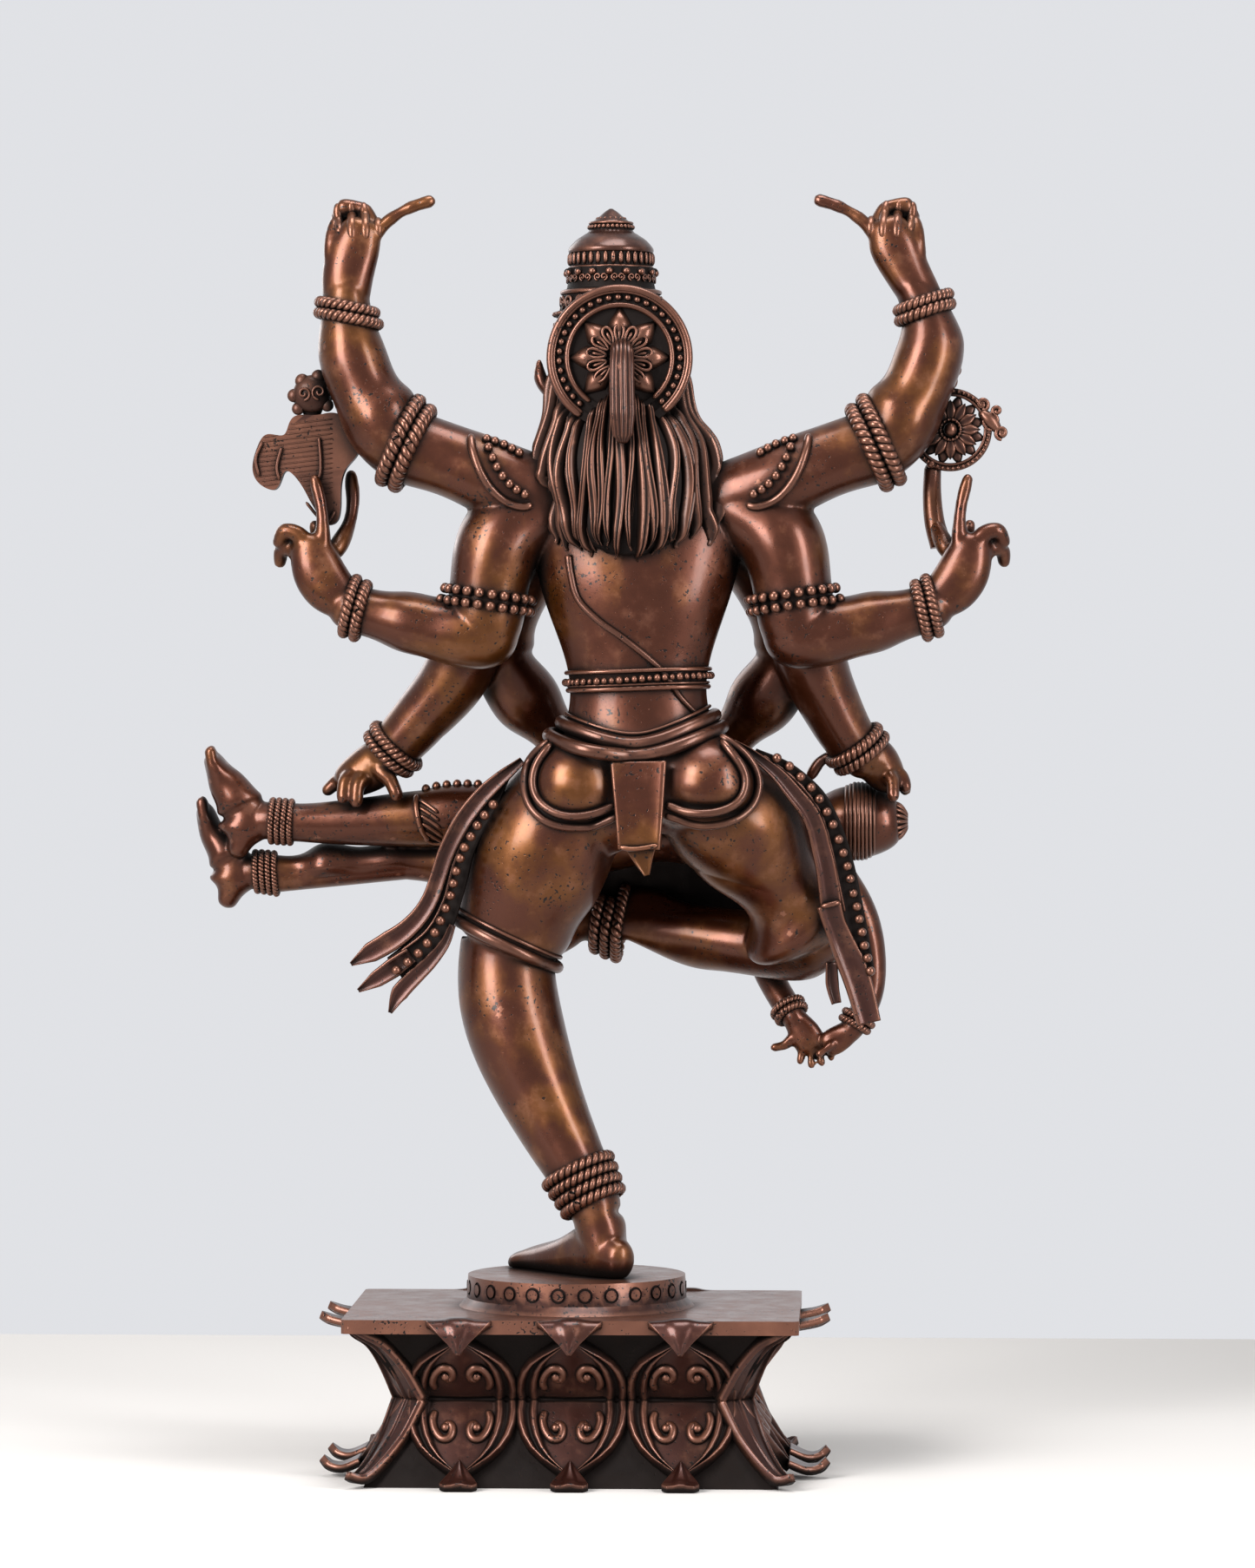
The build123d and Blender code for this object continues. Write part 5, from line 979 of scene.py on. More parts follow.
def halo_rays():
    shape = Shape()
    sides = [(j, (j + 1) % 5, 7 + (j + 1) % 5, 7 + j) for j in range(5)]
    for angle in turns(HALO_RAYS):
        verts = []
        for out, aside, lift in RAY_RIM + RAY_RIDGE + [(out, aside, -1.0) for out, aside, _ in RAY_RIM]:
            x, z = out * cos(angle) - aside * sin(angle), out * sin(angle) + aside * cos(angle)
            verts.append(HALO_CENTRE + vec(x, -lift, z))
        shape.add(verts, RAY_FACES + sides)
    cone = smooth_path([HALO_CENTRE + vec(0, y, 0) for y in (1.4, 0, -1.6)], 0.5)
    sweep(shape, cone, round_outline(5.2, 28), np.linspace(1, 0.55, len(cone)))
    shape.ornament("halo_kites", "halo_rays")


def halo_rosette():
    shape = Shape()
    for k in range(ROSETTE_LEAVES):
        angle = pi / 2 + (k - ROSETTE_LEAVES // 2) * radians(27)
        points = []
        for t in np.linspace(0, tau, 20, endpoint=False):
            out, aside = 5.6 - 2.4 * cos(t), 1.25 * sin(t) * (0.8 - 0.35 * cos(t))
            points.append(disc_point(np.hypot(out, aside), angle + np.arctan2(aside, out), 3.4 - 0.1 * out))
        cord(shape, points, 0.4, closed=True, sides=7, step=0.3)
        cord(shape, [disc_point(out, angle, 2.6) for out in (3.2, 5.0, 6.8)], 0.45, sides=7)
    shape.ornament("halo_rosette")


halo_rim()
halo_rays()
halo_rosette()


# ---------------------------------------------------------------- tassel of hair
TASSEL_RIBS = 15
TASSEL_SIZES = ((0, 0.12, 0.35, 0.75, 0.93, 1), (0.75, 1.0, 1.1, 1.14, 0.9, 0.35))


def tassel():
    low, high = corners("hair_tassel")
    x = (low[0] + high[0]) / 2
    path = smooth_path([
        vec(x - 0.2, high[1] + 1.2, high[2] - 4.2), vec(x - 0.2, high[1] - 2.2, high[2] - 3.0),
        vec(x, high[1] - 5.0, high[2] - 4.6), vec(x, low[1] + 2.9, high[2] - 10),
        vec(x + 0.1, low[1] + 2.8, low[2] + 11), vec(x + 0.2, low[1] + 3.0, low[2] + 4),
        vec(x + 0.3, low[1] + 3.4, low[2] + 0.6),
    ])
    outline = []
    for angle in turns(TASSEL_RIBS * 6):
        radius = 2.75 * (1 - 0.13 * (0.5 + 0.5 * cos(angle * TASSEL_RIBS)) ** 2)
        outline.append((radius * cos(angle), radius * 0.92 * sin(angle)))
    shape = Shape()
    sweep(shape, path, outline, np.interp(along(path), *TASSEL_SIZES))
    shape.ornament("tassel_of_hair", "hair_tassel")


tassel()


# ---------------------------------------------------------------- crown
CROWN_MIDDLE = np.mean(corners("crown"), axis=0)
# Rings: radius, height, cord radius and whether twisted.
CROWN_RINGS = (
    (13.95, 235.85, 0.55, True), (11.95, 241.2, 0.6, False), (13.95, 228.6, 0.6, True),
    (5.2, 258.3, 0.35, False), (10.15, 247.3, 0.35, False),
)
CROWN_BEADS = ((30, 5.3, 257.3, 0.6), (16, 3.4, 259.4, 0.4))  # count, radius, height, size
CROWN_LEAF = ((-1.5, -2.1), (-1.7, -0.4), (-0.9, 1.3), (0, 2.4), (0.9, 1.3), (1.7, -0.4), (1.5, -2.1))
CROWN_DOME = [
    (10.25, 250.9), (10.5, 251.5), (10.2, 252.4), (8.6, 254.15), (6.6, 255.5), (5.5, 256.3), (4.6, 258.5),
    (3.0, 259.9), (1.6, 261.1), (0.4, 261.9),
]
BAND_RADIUS, TIER_RADIUS, LEAF_RADIUS = 10.8, 12.3, 13.9
RIBS, BAND_KNOBS, TIER_SCROLLS, CROWN_LEAVES = 34, 16, 20, 22


def crown_point(radius, angle, z):
    return vec(CROWN_MIDDLE[0] + radius * cos(angle), CROWN_MIDDLE[1] + radius * sin(angle), z + STAND_Z)


def scroll(shape, place, size, thickness, flip=1):
    """Adds a spiral cord. place(side, up) gives the point that far from its middle."""
    points = []
    for t in np.linspace(0, 1, 18):
        radius = size * (1 - 0.86 * t)
        angle = -pi / 2 + 1.4 * tau * t
        points.append(place(flip * radius * cos(angle), radius * sin(angle)))
    cord(shape, points, thickness, sides=7, step=0.3, ends=0.7)


def crown_scroll(shape, radius, angle, z, size, thickness, flip, bulge=0.0):
    """Adds a scroll on the crown's round wall."""

    def on_wall(side, up):
        return crown_point(radius + bulge, angle + side / radius, z + up)

    scroll(shape, on_wall, size, thickness, flip)


def crown():
    shape = Shape()
    axis = vec(CROWN_MIDDLE[0], CROWN_MIDDLE[1], STAND_Z)
    for radius, z, size, twisted in CROWN_RINGS:
        loop = circle(axis + vec(0, 0, z), (0, 0, 1), radius, 64)
        if twisted:
            rope(shape, loop, size, 1.8, sides=6)
        else:
            cord(shape, loop, size, closed=True, sides=8)
    for count, radius, z, size in CROWN_BEADS:
        for angle in turns(count):
            bead(shape, crown_point(radius, angle, z), size)
    for angle in turns(RIBS):
        cord(shape, [crown_point(10.2, angle, z) for z in (247.9, 249.4, 250.9)], 0.62, sides=7)
    for angle in turns(BAND_KNOBS):
        bead(shape, crown_point(BAND_RADIUS, angle, 246.0), 1.0)
        for flip in (-1, 1):
            middle = angle + flip * 0.07 + tau / (2 * BAND_KNOBS)
            crown_scroll(shape, BAND_RADIUS, middle, 244.6, 0.95, 0.26, flip, 0.05)
    for k, angle in enumerate(turns(TIER_SCROLLS)):
        crown_scroll(shape, TIER_RADIUS, angle, 238.8, 1.7, 0.42, 1 if k % 2 else -1)
    for angle in turns(CROWN_LEAVES):
        leaf = [crown_point(LEAF_RADIUS, angle + side / LEAF_RADIUS, 231.2 + up) for side, up in CROWN_LEAF]
        cord(shape, leaf, 0.42, sides=7, step=0.4)
        bead(shape, crown_point(LEAF_RADIUS, angle, 230.9), 0.9, flat=((cos(angle), sin(angle), 0), 0.6))
    shape.ornament("crown_ornament")
    dome = Shape()
    lathe(dome, axis, smooth_outline(CROWN_DOME, 0.3), 64)
    dome.ornament("crown_dome")


crown()


# ---------------------------------------------------------------- armlets, shoulder cords and fingers
BODY_MIDDLE = 15.8  # x of the body's middle line
UPPER_ARM_REACH = 60.0  # solids farther than this from the middle line lie off the arms and are left out
# Cords on each raised arm, as distances from the middle line and heights, then lift and radius.
SHOULDER_CORDS = (
    ([
        (41.3, 205.4), (41.2, 203.8), (40.4, 201.0), (39.0, 197.4), (37.2, 194.2), (34.8, 191.4),
        (31.8, 189.2), (28.4, 187.9), (26.2, 188.6),
    ], 0.5, 1.05),
    ([(36.6, 203.6), (35.6, 200.0), (33.9, 196.6), (31.6, 194.0), (28.8, 192.8)], 0.0, 0.45),
)
# Backs of the fingers on the right raised hand, from knuckle to bend. The left hand mirrors them.
FINGERS = (
    ((72.0, 254.8), (72.2, 258.4), (72.8, 261.6)), ((75.0, 253.8), (75.3, 258.8), (76.0, 263.0)),
    ((78.3, 253.8), (78.6, 259.2), (79.2, 264.2)), ((81.4, 255.4), (82.2, 260.0), (82.2, 264.6)),
)
LEFT_SHIFT = -8.0  # the left hand isn't bent in


def bead_run(shape, name, radius, largest=inf):
    """Adds a ball at each solid of a CAD node, leaving out those off the arms or wider than the largest."""
    for part in loose_parts(name):
        low, high = part.min(0), part.max(0)
        centre = (low + high) / 2
        if abs(centre[0] - BODY_MIDDLE) < UPPER_ARM_REACH and (high - low).max() < largest:
            bead(shape, centre, radius, rings=8, sides=12)


def arm_ornament():
    beads, cords = Shape(), Shape()
    bead_run(beads, "beaded_armlets", 1.28)
    bead_run(beads, "epaulettes", 1.15, largest=4)
    for side in (-1, 1):
        for route, lift, size in SHOULDER_CORDS:
            points = smooth_outline([(BODY_MIDDLE + side * out, z) for out, z in route], 1.2)
            cord(cords, ease_open(lay(FIGURE_TREE, points, lift)), size, ends=0.6)
    beads.ornament("arm_beads", "beaded_armlets")
    cords.ornament("shoulder_cords", "epaulettes")


def fingers():
    shape = Shape()
    for side in (-1, 1):
        for run in FINGERS:
            points = []
            for x, z in smooth_outline(run, 0.8):
                place = x if side > 0 else 2 * BODY_MIDDLE - x + LEFT_SHIFT
                hit = cast_ray(FIGURE_TREE, on_stand(place, -60, z), (0, 1, 0))
                if hit:
                    points.append(hit[0] + vec(0, 0.75, 0))
            if len(points) > 3:
                cord(shape, ease_open(points), 1.25, sides=12, ends=0.5)
    shape.piece("raised_fingers", FIGURE, "figure_brass")


arm_ornament()
fingers()


# ---------------------------------------------------------------- discus and conch
DISCUS_CENTRE = on_stand(91.6, 2.2, 207.4)
# Two layers of leaves: lift, inner and outer radius, half width, thickness, turn in steps and middle ridge.
DISCUS_LEAVES = ((0.9, 2.4, 7.3, 1.35, 0.9, 0, 0.05), (-0.3, 3.4, 8.9, 1.5, 0.7, 0.5, 0.7))
DISCUS_STEPS = 12
# Curls and knobs round the discus: x, height and size.
DISCUS_CURLS = (
    (91.0, 219.6, 2.3), (92.6, 222.2, 1.5), (99.4, 213.6, 1.7), (101.8, 209.6, 2.4), (104.2, 206.6, 1.7),
    (103.0, 212.0, 1.3),
)
DISCUS_STEMS = (
    (((91.4, 216.6), (91.4, 219.4), (91.8, 222)), 1.5), (((98.8, 212), (101.4, 209.6), (103.6, 207)), 1.8),
    (((86.2, 198.2), (87.6, 200)), 1.2),
)
DISCUS_FINGER = ((87.4, 4.4, 199.6), (87.2, 5.4, 192), (87.8, 5.6, 185), (89.4, 5.0, 179))
# The conch: its raised lines, the lobes round its knob and the scrolls on it, by x and height.
CONCH_FRONT = corners("conch")[0][1] + 0.6
CONCH_LINES = (
    ((-63.4, 205.8), (-63.0, 200.6), (-63.2, 196.4), (-64.6, 194.6)),
    ((-72.6, 203.4), (-73.8, 198.6), (-73.2, 195.2)), ((-77.4, 204.6), (-79.0, 200.4), (-78.2, 196.2)),
    ((-66.6, 189.8), (-63.6, 186.2), (-61.4, 184.8), (-59.4, 187.6)),
)
CONCH_LOBES = (
    (-69.6, 216.0, 1.7), (-67.6, 219.6, 1.8), (-63.6, 220.6, 1.8), (-60.8, 217.6, 1.7), (-61.4, 213.6, 1.6),
    (-68.6, 212.8, 1.6),
)
CONCH_SCROLLS = ((-67.0, 216.4, 1.7, 1), (-63.2, 216.8, 1.9, -1))
HATCH_LINES = 16


def flat_scroll(shape, x, y, z, size, thickness, flip):
    """Adds a scroll in the plane of X and Z."""

    def on_face(side, up):
        return on_stand(x + side, y, z + up)

    scroll(shape, on_face, size, thickness, flip)


def discus():
    def point(radius, angle, lift):
        return DISCUS_CENTRE + vec(radius * cos(angle), -lift, radius * sin(angle))

    shape = Shape()
    for radius, size, lift in ((9.5, 0.75, 0.0), (8.55, 0.4, 0.5), (2.5, 0.35, 1.4)):
        cord(shape, circle(DISCUS_CENTRE + vec(0, -lift, 0), (0, 1, 0), radius, 60), size, closed=True)
    for count, radius, lift, size in ((46, 9.5, 0.7, 0.52), (14, 2.45, 1.6, 0.42)):
        for angle in turns(count):
            bead(shape, point(radius, angle, lift), size, rings=5, sides=8)
    bead(shape, point(0, 0, 1.3), 1.7)
    cord(shape, [point(0, 0, -1.6), point(0, 0, 1.2)], 2.6, sides=18)
    for angle in turns(DISCUS_STEPS):
        for lift, start, end, wide, thick, turned, ridge in DISCUS_LEAVES:
            aim = angle + turned * tau / DISCUS_STEPS
            run = ((start, lift), ((start + end) / 2, lift + 0.4), (end, lift - 0.2))
            path = smooth_path([point(radius, aim, rise) for radius, rise in run], 0.35)
            widths = wide * np.clip(np.sin(pi * (0.12 + 0.86 * along(path))), 0.06, 1)
            outline = [(-1, -0.5), (-1, 0.1), (-0.5, 0.55), (0, ridge), (0.5, 0.55), (1, 0.1), (1, -0.5)]
            ribbon(shape, path, outline, widths, thick)
    for x, z, size in DISCUS_CURLS:
        flat_scroll(shape, x, 1.6, z, size, 0.5, 1 if x < 100 else -1)
        bead(shape, on_stand(x, 2.2, z), size * 0.8, flat=((0, 1, 0), 0.7))
    for line, size in DISCUS_STEMS:
        figure_cord(shape, [(x, 2.2, z) for x, z in line], size)
    shape.ornament("pierced_discus", "discus")
    finger = Shape()
    path = figure_path(DISCUS_FINGER, 0.6)
    sizes = np.interp(along(path), (0, 0.08, 1), (0.5, 0.85, 1.1))
    sweep(finger, path, round_outline(2.5, 14), sizes)
    finger.piece("discus_finger", FIGURE, "figure_brass")


def conch():
    shape = Shape()
    for line in CONCH_LINES:
        figure_cord(shape, [(x, CONCH_FRONT, z) for x, z in line], 0.42, sides=7)
    middle = on_stand(-65.2, CONCH_FRONT + 1.2, 216.4)
    bead(shape, middle, 4.7, flat=((0, 1, 0), 0.55), rings=12, sides=24)
    for x, z, size in CONCH_LOBES:
        bead(shape, on_stand(x, CONCH_FRONT + 1.0, z), size, flat=((0, 1, 0), 0.7), rings=9, sides=14)
    for x, z, size, flip in CONCH_SCROLLS:
        flat_scroll(shape, x, CONCH_FRONT - 1.3, z, size, 0.4, flip)
    skin = surface("conch")
    for k in range(HATCH_LINES):
        # A line stops at the notch and goes on beyond it.
        runs = [[]]
        for share in np.linspace(0, 1, 32):
            hit = cast_ray(skin, on_stand(-79 + 19 * share, -60, 208 - 1.2 * k + 2.2 * share), (0, 1, 0))
            if hit:
                runs[-1].append(hit[0])
            else:
                runs.append([])
        for run in runs:
            if len(run) > 3:
                cord(shape, run, 0.17, sides=5, step=0.8)
    shape.piece("conch_ridges", DULL, "ornament_brass")


discus()
conch()


# ---------------------------------------------------------------- girdle, band, swags, thread and cloth
GIRDLE_X = 15.4
# Cords round the waist: height, rise at both sides, rise on the +X side, lift off the skin, radius, facets.
GIRDLE = ((133.6, 3.0, 0.9, 1.1, 1.7, 14), (130.7, 3.0, 0.9, 1.1, 1.75, 14), (135.9, 2.9, 0.9, 0.35, 0.45, 8))
BELLY_BAND = ((148.3, 0, 0.5, 0.45, 0.55, 8), (144.0, 0, 0.5, 0.45, 0.65, 8), (145.0, 0, 0.5, 0.45, 0.35, 8))
BAND_Z = 146.3
# Swags over the hips and the thread down the back, as x and height.
SWAGS = (
    ((-5.8, 130.4), (-10.8, 126), (-11.9, 120.7), (-10.8, 115.4), (-7.1, 111.7), (-1.2, 110.1), (5.5, 111.1),
     (10.7, 113.0)),
    ((-5.2, 129.7), (-8.6, 125.4), (-9.5, 120.7), (-8.3, 117.1), (-5.2, 114.6), (-0.5, 113.3), (4.8, 114.1),
     (10.1, 115.7)),
    ((35.4, 131.6), (40.7, 128.0), (43.8, 123.4), (44.0, 118.7), (42.0, 114.7), (37.4, 112.1), (30.7, 111.2),
     (22.1, 113.2)),
    ((35.7, 130.6), (38.7, 127.0), (41.1, 123.4), (41.2, 119.4), (39.2, 116.2), (34.1, 114.3), (28.1, 114.3),
     (22.4, 115.9)),
)
THREAD = (
    (-1.4, 176.4), (-0.8, 172), (0.9, 166), (5.5, 161), (11.9, 156.3), (17.5, 151.8), (21.2, 148.4),
    (23.4, 145.6), (25.4, 142.2), (28.4, 138.8), (31.2, 135.8),
)
# The cloth's tail: its flap, the raised lip of the flap and the point below.
FLAP = (
    (15.8, -17.1, 126.2), (15.9, -17.9, 120), (16.0, -18.2, 113), (16.0, -18.4, 107.4), (16.0, -18.0, 105.0),
)
FLAP_LIP = ((11.2, -18.8, 105.6), (13.6, -19.1, 105.1), (16.4, -19.2, 105.2), (20.6, -18.9, 106.0))
FLAP_POINT = ((16.2, -16.3, 107), (16.8, -15.8, 103), (17.8, -15.2, 98.6))
FLAP_OUTLINE = [
    (-1, -0.7), (-1.02, 0.7), (-0.93, 1.1), (-0.82, 0.75), (-0.4, 0.62), (0.4, 0.62), (0.82, 0.75),
    (0.93, 1.1), (1.02, 0.7), (1, -0.7),
]
KNEE = (-16.3, 4.0, 80.6)  # middle of the knee cord
KNEE_LEAN = radians(25.6)  # of the leg there


def body_ring(tree, centre, side, front, lift):
    """Points on a limb's skin, raised by lift, all round a centre in the plane of two directions."""
    points = []
    for angle in turns(72):
        outward = unit(cos(angle) * side + sin(angle) * front)
        hit = cast_ray(tree, centre + outward * 60, -outward)
        points.append(hit[0] + outward * lift if hit else points[-1])
    return np.array(points)


def around_waist(tree, level, side_rise, right_rise, lift):
    """A closed run round the waist, raised by lift, whose height varies with the angle."""
    places = []
    reaches = []
    for angle in turns(96):
        outward = vec(cos(angle), sin(angle), 0)
        height = level + side_rise * cos(2 * angle) + right_rise * cos(angle)
        hit = cast_ray(tree, on_stand(GIRDLE_X, 0, height) + outward * 60, -outward)
        reaches.append(np.hypot(hit[0][0] - GIRDLE_X, hit[0][1]) if hit else reaches[-1])
        places.append((outward, height))
    # A cord spans a hollow in the skin rather than following it down.
    reaches = np.max([np.roll(reaches, k) for k in range(-5, 6)], axis=0)
    reaches = ease(reaches, 8) + lift
    return np.array([on_stand(GIRDLE_X, 0, z) + out * reach for reach, (out, z) in zip(reaches, places)])


def waist_cords(torso, cords):
    shape = Shape()
    for *course, size, sides in cords:
        cord(shape, around_waist(torso, *course), size, closed=True, sides=sides, step=0.8)
    return shape


def belly_band(torso):
    shape = waist_cords(torso, BELLY_BAND)
    row = smooth_path(around_waist(torso, BAND_Z, 0, 0.9, 0.95), 1.85, closed=True)
    for k, place in enumerate(row):
        bead(shape, place, 0.86 + 0.14 * sin(k * 2.3))
    shape.ornament("belly_band_beads", "belly_band")


def swags():
    shape = Shape()
    body = surface("torso", "hips", "standing_thigh", "raised_thigh", "standing_shin")
    for route in SWAGS:
        points = ease_open(lay(body, smooth_outline(route, 1.5), 0.95), 3)
        cord(shape, points, 1.05, sides=12, step=0.6, ends=0.6)
    shape.ornament("swag_cords", "hip_swags")


def sacred_thread(torso):
    shape = Shape()
    path = smooth_path(lay(torso, THREAD, 0.35), 0.6)
    path[:, 1] -= 1.1 * np.exp(-(((path[:, 2] - STAND_Z - BAND_Z) / 2.2) ** 2))  # it passes over the band
    sweep(shape, path, round_outline(0.95, 12), 1.0 - 0.3 * along(path))
    shape.ornament("thread_cord", "sacred_thread")


def loincloth():
    shape = Shape()
    for route, half, narrowing, thickness in ((FLAP, 6.7, 1.7, 0.75), (FLAP_POINT, 4.4, 4.4 * 0.85, 0.7)):
        path = figure_path(route, 0.5)
        ribbon(shape, path, FLAP_OUTLINE, half - narrowing * along(path), thickness)
    lip = figure_path(FLAP_LIP, 0.5)
    sweep(shape, lip, round_outline(0.6, 8), tapered(len(lip), 0.4))
    shape.piece("loincloth_fold", FIGURE, "figure_brass", ["loincloth_tail"])


def knee_cord():
    shape = Shape()
    side, top = vec(cos(KNEE_LEAN), 0, -sin(KNEE_LEAN)), vec(sin(KNEE_LEAN), 0, cos(KNEE_LEAN))
    legs = surface("standing_thigh", "standing_shin")
    for rise, lift, size in ((0.0, 0.9, 1.45), (2.6, 0.3, 0.5)):
        loop = body_ring(legs, on_stand(*KNEE) + top * rise, side, vec(0, 1, 0), lift)
        cord(shape, ease(loop), size, closed=True, sides=12, step=0.7)
    shape.ornament("knee_cord", "knee_band")


TORSO_TREE = surface("torso", "hips")
waist_cords(TORSO_TREE, GIRDLE).ornament("girdle_cords", "hip_girdle")
belly_band(TORSO_TREE)
swags()
sacred_thread(TORSO_TREE)
loincloth()
knee_cord()


# ---------------------------------------------------------------- sashes
RIBBON = [
    (-1, -0.9), (-1.04, 0.2), (-0.9, 0.75), (-0.68, 0.5), (-0.3, 0.25), (0.25, 0.25), (0.6, 0.55),
    (0.86, 1.1), (1.05, 0.4), (1, -0.9),
]
# Near-black strips of painted shadow under the sashes, then strips of cloth: points along the middle, half
# widths at even places, and thickness.
SASH_SHADOW_STRIPS = ((
    [
        (-17.5, -5.6, 122.4), (-22.4, -6.2, 114), (-27.6, -5.6, 105.4), (-30.4, -4.8, 96),
        (-33.4, -4.4, 86.8), (-38, -4.2, 80), (-44.4, -4.2, 75.2),
    ],
    [1.4, 2.6, 3.2, 3.4, 3.4, 3.6, 3.2], 0.7,
), (
    [
        (44.0, -8.2, 128.6), (52.0, -6.4, 124), (58.6, -3.6, 117), (62.4, -1.2, 109), (65, 0.6, 101),
        (67, 2.2, 92), (69, 3.8, 83), (71.6, 4.8, 74),
    ],
    [0.8, 1.8, 2.6, 2.9, 2.9, 2.9, 2.7, 1.6], 0.7,
))
LEFT_RIBBONS = (
    (
        [
            (-12.9, -7.4, 126.4), (-18.9, -7.8, 121.4), (-22.8, -7.8, 117.6), (-26.8, -7.4, 112.6),
            (-29.6, -6.8, 107.9), (-31.9, -6.2, 103.0), (-33.7, -5.8, 97.6), (-35.6, -5.6, 92.4),
            (-38.4, -5.4, 88.0), (-42.3, -5.2, 84.2), (-46.8, -5.0, 81.2), (-50.8, -4.8, 78.9),
            (-55.2, -4.6, 76.3),
        ],
        [0.9, 1.6, 2.0, 2.2, 2.2, 2.1, 2.0, 2.0, 2.1, 2.3, 2.6, 2.4, 0.5], 1.0,
    ),
    (
        [(-40.4, -5.0, 78.6), (-45.4, -4.9, 75.0), (-49.6, -4.8, 72.2), (-53.4, -4.6, 69.8)],
        [2.0, 2.4, 2.0, 0.5], 0.9,
    ),
    (
        [
            (-30.2, -5.2, 86.0), (-32.2, -5.2, 81.4), (-35.8, -5.0, 76.9), (-40, -4.9, 72.8),
            (-43.4, -4.8, 69.0), (-45.6, -4.6, 64.4),
        ],
        [0.8, 1.3, 1.7, 2.0, 2.1, 0.5], 0.9,
    ),
)
# Raised edges of the two sashes, and the tie of the right one.
LEFT_EDGE = (
    (-21.0, -7.0, 117.0), (-26.6, -6.6, 109.4), (-30.0, -6.0, 100.6), (-32.3, -5.6, 92.2),
    (-36.4, -5.3, 84.8), (-43.0, -5.0, 79.4),
)
RIGHT_RIBBONS = (
    (
        [
            (38.6, -9.4, 130.8), (43.0, -9.2, 128.2), (49.1, -8.0, 123.3), (53.7, -6.0, 118.0),
            (56.9, -4.2, 113.9), (58.8, -2.8, 109.8), (60.0, -1.6, 105.0), (61.2, -0.6, 99.8),
            (62.0, 0.4, 94.6), (62.7, 1.2, 89.4),
        ],
        [0.8, 1.1, 1.5, 1.9, 2.1, 2.2, 2.3, 2.4, 2.5, 2.6], 1.1,
    ),
    (
        [
            (62.0, 0.0, 91.0), (63.2, 1.2, 86.6), (65.2, 2.6, 81.6), (67.6, 3.4, 76.0), (69.4, 3.8, 70.8),
            (70.8, 4.0, 65.6), (71.8, 4.0, 61.6),
        ],
        [2.9, 2.7, 3.0, 3.4, 3.3, 3.1, 2.9], 1.2,
    ),
    ([(62.6, 4.6, 76.6), (62.8, 5.2, 71.0), (63.8, 5.6, 66.4)], [1.4, 1.6, 1.2], 1.0),
)
RIGHT_EDGE = (
    (46, -8.4, 127.6), (53.6, -6.6, 121.8), (59.4, -3.6, 114.4), (62.2, -1.4, 106), (63.9, 0.0, 98),
    (65.8, 1.6, 89),
)
RIGHT_TIE = ((59.9, -0.6, 90.4), (62.4, -0.9, 91.0), (64.8, -0.3, 91.6))


def strip(shape, points, widths, thickness):
    """Adds a flat ribbon through points given on the stand."""
    path = figure_path(points, 0.6)
    ribbon(shape, path, RIBBON, np.interp(along(path), along(widths), widths), thickness)


def sashes():
    left, right, shadow_strips, balls = Shape(), Shape(), Shape(), Shape()
    for shape, strips in ((shadow_strips, SASH_SHADOW_STRIPS), (left, LEFT_RIBBONS), (right, RIGHT_RIBBONS)):
        for points, widths, thickness in strips:
            strip(shape, points, widths, thickness)
    figure_cord(left, LEFT_EDGE, 0.42, sides=8)
    figure_cord(right, RIGHT_EDGE, 0.45)
    figure_cord(right, RIGHT_TIE, 0.7)
    bead_run(balls, "sash_beads", 1.2)
    left.piece("sash_left_ribbon", PEDESTAL, "ornament_brass", ["sash_left"])
    right.piece("sash_right_ribbon", PEDESTAL, "ornament_brass", ["sash_right"])
    shadow_strips.piece("sash_shadow", RECESS_SHADE, "ornament_brass")
    balls.ornament("sash_bead_rows", "sash_beads")


sashes()


# ---------------------------------------------------------------- the demon's cap and cloth, and a sheet of painted shade between the legs
CAP_MIDDLE = on_stand(0, 26.0, 110.8)
# x along the cap and radii there, for its core and for the cord wound on it.
CAP_CORE = (
    (66.0, 68.2, 70.6, 72.6, 74.0, 76.4, 78.6, 80.2, 81.0), (8.2, 9.1, 9.1, 8.2, 6.4, 4.2, 4.3, 3.2, 1.2),
)
CAP_WIND = ((66, 68.2, 70.6, 72.6, 74), (8.4, 9.3, 9.3, 8.4, 6.8))
# Rings of the cap: x, radius where it isn't the wound cord's, and cord radius.
CAP_RINGS = [(66.3 + 0.95 * k, None, 0.58) for k in range(9)] + [(75.4, 5.9, 0.95), (76.6, 4.3, 0.4)]
CAP_PETALS = 18
CAP_PETAL = ((76.6, 4.2), (78.0, 4.6), (79.6, 4.0), (80.9, 2.2), (81.2, 0.8))
# Hem and folds of the cloth on the demon's near leg.
HEM = ((-40.6, 117.2), (-40.7, 115), (-40.2, 112), (-39.2, 109), (-37.6, 106.4))
FOLDS = 6
FOLDS_END = 105.6  # the folds stop at this height
HEM_BEADS = 8


def demon_cap():
    shape = Shape()
    path = np.array([CAP_MIDDLE + vec(x, 0, 0) for x in CAP_CORE[0]])
    sweep(shape, path, round_outline(1, 40), CAP_CORE[1], up=(0, 0, 1))
    for x, radius, size in CAP_RINGS:
        loop = circle(CAP_MIDDLE + vec(x, 0, 0), (1, 0, 0), radius or np.interp(x, *CAP_WIND))
        cord(shape, loop, size, closed=True, sides=9)
    for angle in turns(CAP_PETALS):
        radial = vec(0, cos(angle), sin(angle))
        cord(shape, [CAP_MIDDLE + vec(x, 0, 0) + radial * radius for x, radius in CAP_PETAL], 0.52, sides=7)
    shape.ornament("demon_cap", "demon_crown")


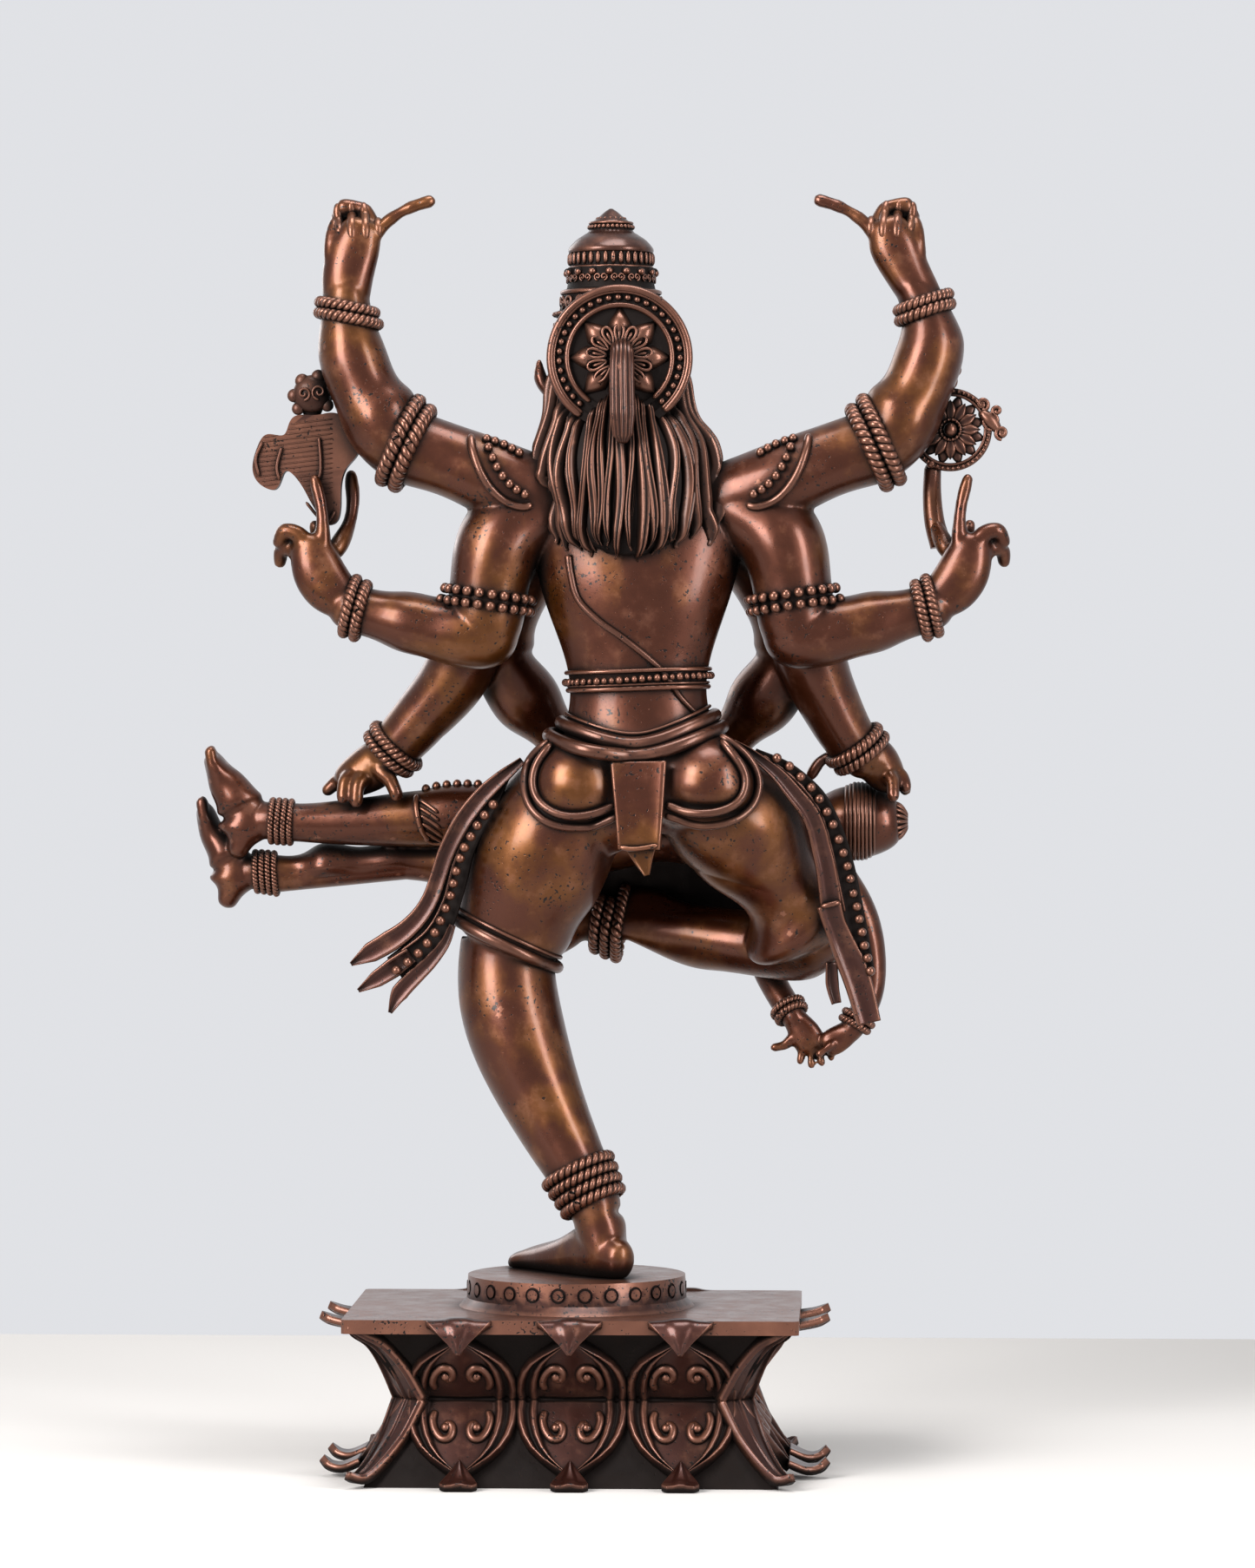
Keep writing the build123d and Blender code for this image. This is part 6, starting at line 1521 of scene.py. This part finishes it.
def demon_cloth():
    shape = Shape()
    leg = surface("demon_near_thigh", "demon_near_leg")
    cord(shape, lay(leg, HEM, 0.35), 0.75, sides=9)
    for k in range(FOLDS):
        z = 116.2 - 1.9 * k
        run = [(-40.2 + 0.28 * k, z), (-37.8 + 0.3 * k, z - 1.3), (-35 + 0.3 * k, z - 3.2)]
        cord(shape, lay(leg, [(x, max(z, FOLDS_END)) for x, z in run], 0.25), 0.5, sides=7, ends=0.2)
    for k in range(HEM_BEADS):
        top = cast_ray(leg, on_stand(-38.6 + 2.6 * k, 21.6, 160), (0, 0, -1))
        if top:
            bead(shape, top[0] + vec(0, -0.6, 0.1), 1.25, flat=((1, 0, 0), 0.9))
    shape.piece("demon_cloth", FIGURE, "figure_brass")


def lap_shade_sheet():
    """Adds a near-black pleated sheet on the far side of the legs, painted as the shade between them."""
    shape = Shape()

    def place(across, down):
        return on_stand(1 + 48 * across, 29 + 11 * down + 0.6 * sin(across * 34), 106 - 23 * down)

    grid = np.array([[place(u, v) for u in np.linspace(0, 1, 30)] for v in np.linspace(0, 1, 16)])
    sheet_solid(shape, grid, grid + vec(0, 1.2, 0))
    shape.piece("lap_shade_sheet", RECESS_SHADE, "figure_brass")


demon_cap()
demon_cloth()
lap_shade_sheet()


# ---------------------------------------------------------------- light, floor and camera
TABLE_DEPTH = 614
BACKDROP = (0.75, 0.76, 0.79, 1)  # seen by the camera and mirrored in the metal
ROOM = (0.90, 0.88, 0.86, 1)
ROOM_STRENGTH = 0.04
FLOOR = (0.66, 0.645, 0.63, 1)
LAMP_AIM = (12, 0, 190)
LAMPS = (  # name, place, width and height, power and colour
    ("key", (-560, -700, 520), (380, 680), 17.0, (1, 0.97, 0.95)),
    ("fill", (700, -560, 380), (200, 700), 8.0, (1, 0.98, 0.97)),
    ("top", (60, -120, 900), (420, 300), 5.0, (1, 1, 1)),
    ("rear", (-480, 640, 500), (420, 420), 1.5, (1, 1, 1)),
)


def backdrop(scene):
    scene.view_settings.view_transform = "Standard"
    world = bpy.data.worlds.new("studio")
    scene.world = world
    world.use_nodes = True
    nodes, links = world.node_tree.nodes, world.node_tree.links
    room, plain = nodes["Background"], nodes.new("ShaderNodeBackground")
    room.inputs["Color"].default_value = ROOM
    room.inputs["Strength"].default_value = ROOM_STRENGTH
    plain.inputs["Color"].default_value = BACKDROP
    chosen, seen = nodes.new("ShaderNodeMixShader"), nodes.new("ShaderNodeLightPath")
    either = nodes.new("ShaderNodeMath")
    either.operation = "MAXIMUM"
    links.new(seen.outputs["Is Camera Ray"], either.inputs[0])
    links.new(seen.outputs["Is Glossy Ray"], either.inputs[1])
    links.new(either.outputs["Value"], chosen.inputs["Fac"])
    links.new(room.outputs["Background"], chosen.inputs[1])
    links.new(plain.outputs["Background"], chosen.inputs[2])
    links.new(chosen.outputs["Shader"], nodes["World Output"].inputs["Surface"])


def lamps(scene):
    for name, place, size, power, colour in LAMPS:
        lamp = bpy.data.lights.new(name, "AREA")
        lamp.shape, lamp.size, lamp.size_y = "RECTANGLE", size[0] * MM, size[1] * MM
        lamp.energy, lamp.color = power, colour
        body = bpy.data.objects.new(name, lamp)
        body.location = Vector(place) * MM
        body.rotation_euler = (Vector(LAMP_AIM) - Vector(place)).to_track_quat("-Z", "Y").to_euler()
        scene.collection.objects.link(body)


def table():
    bpy.ops.mesh.primitive_plane_add(size=2, location=(0, 0, 0))
    floor = bpy.context.object
    floor.scale = (1.0, TABLE_DEPTH / 2 * MM, 1)
    floor.name = "floor"
    paint = bpy.data.materials.new("floor_paint")
    paint.use_nodes = True
    shader = paint.node_tree.nodes["Principled BSDF"]
    shader.inputs["Base Color"].default_value = FLOOR
    shader.inputs["Roughness"].default_value = 0.7
    floor.data.materials.append(paint)


CAMERA_DISTANCE = 1500
CAMERA_TURN = radians(2.2)  # towards +X from straight behind the figure
CAMERA_HEIGHT = 195.4
CAMERA_AIM = (12.5, 0, 169.2)
CAMERA_VIEW = radians(14.63)  # angle from the frame's bottom to its top


def camera(scene):
    lens = bpy.data.cameras.new("camera")
    lens.sensor_fit = "VERTICAL"
    lens.angle = CAMERA_VIEW
    lens.clip_start, lens.clip_end = 0.05, 20
    body = bpy.data.objects.new("camera", lens)
    x = CAMERA_AIM[0] + CAMERA_DISTANCE * sin(CAMERA_TURN)
    y = CAMERA_AIM[1] - CAMERA_DISTANCE * cos(CAMERA_TURN)
    place = Vector((x, y, CAMERA_HEIGHT))
    body.location = place * MM
    body.rotation_euler = (Vector(CAMERA_AIM) - place).to_track_quat("-Z", "Y").to_euler()
    scene.collection.objects.link(body)
    scene.camera = body


backdrop(bpy.context.scene)
lamps(bpy.context.scene)
table()
camera(bpy.context.scene)
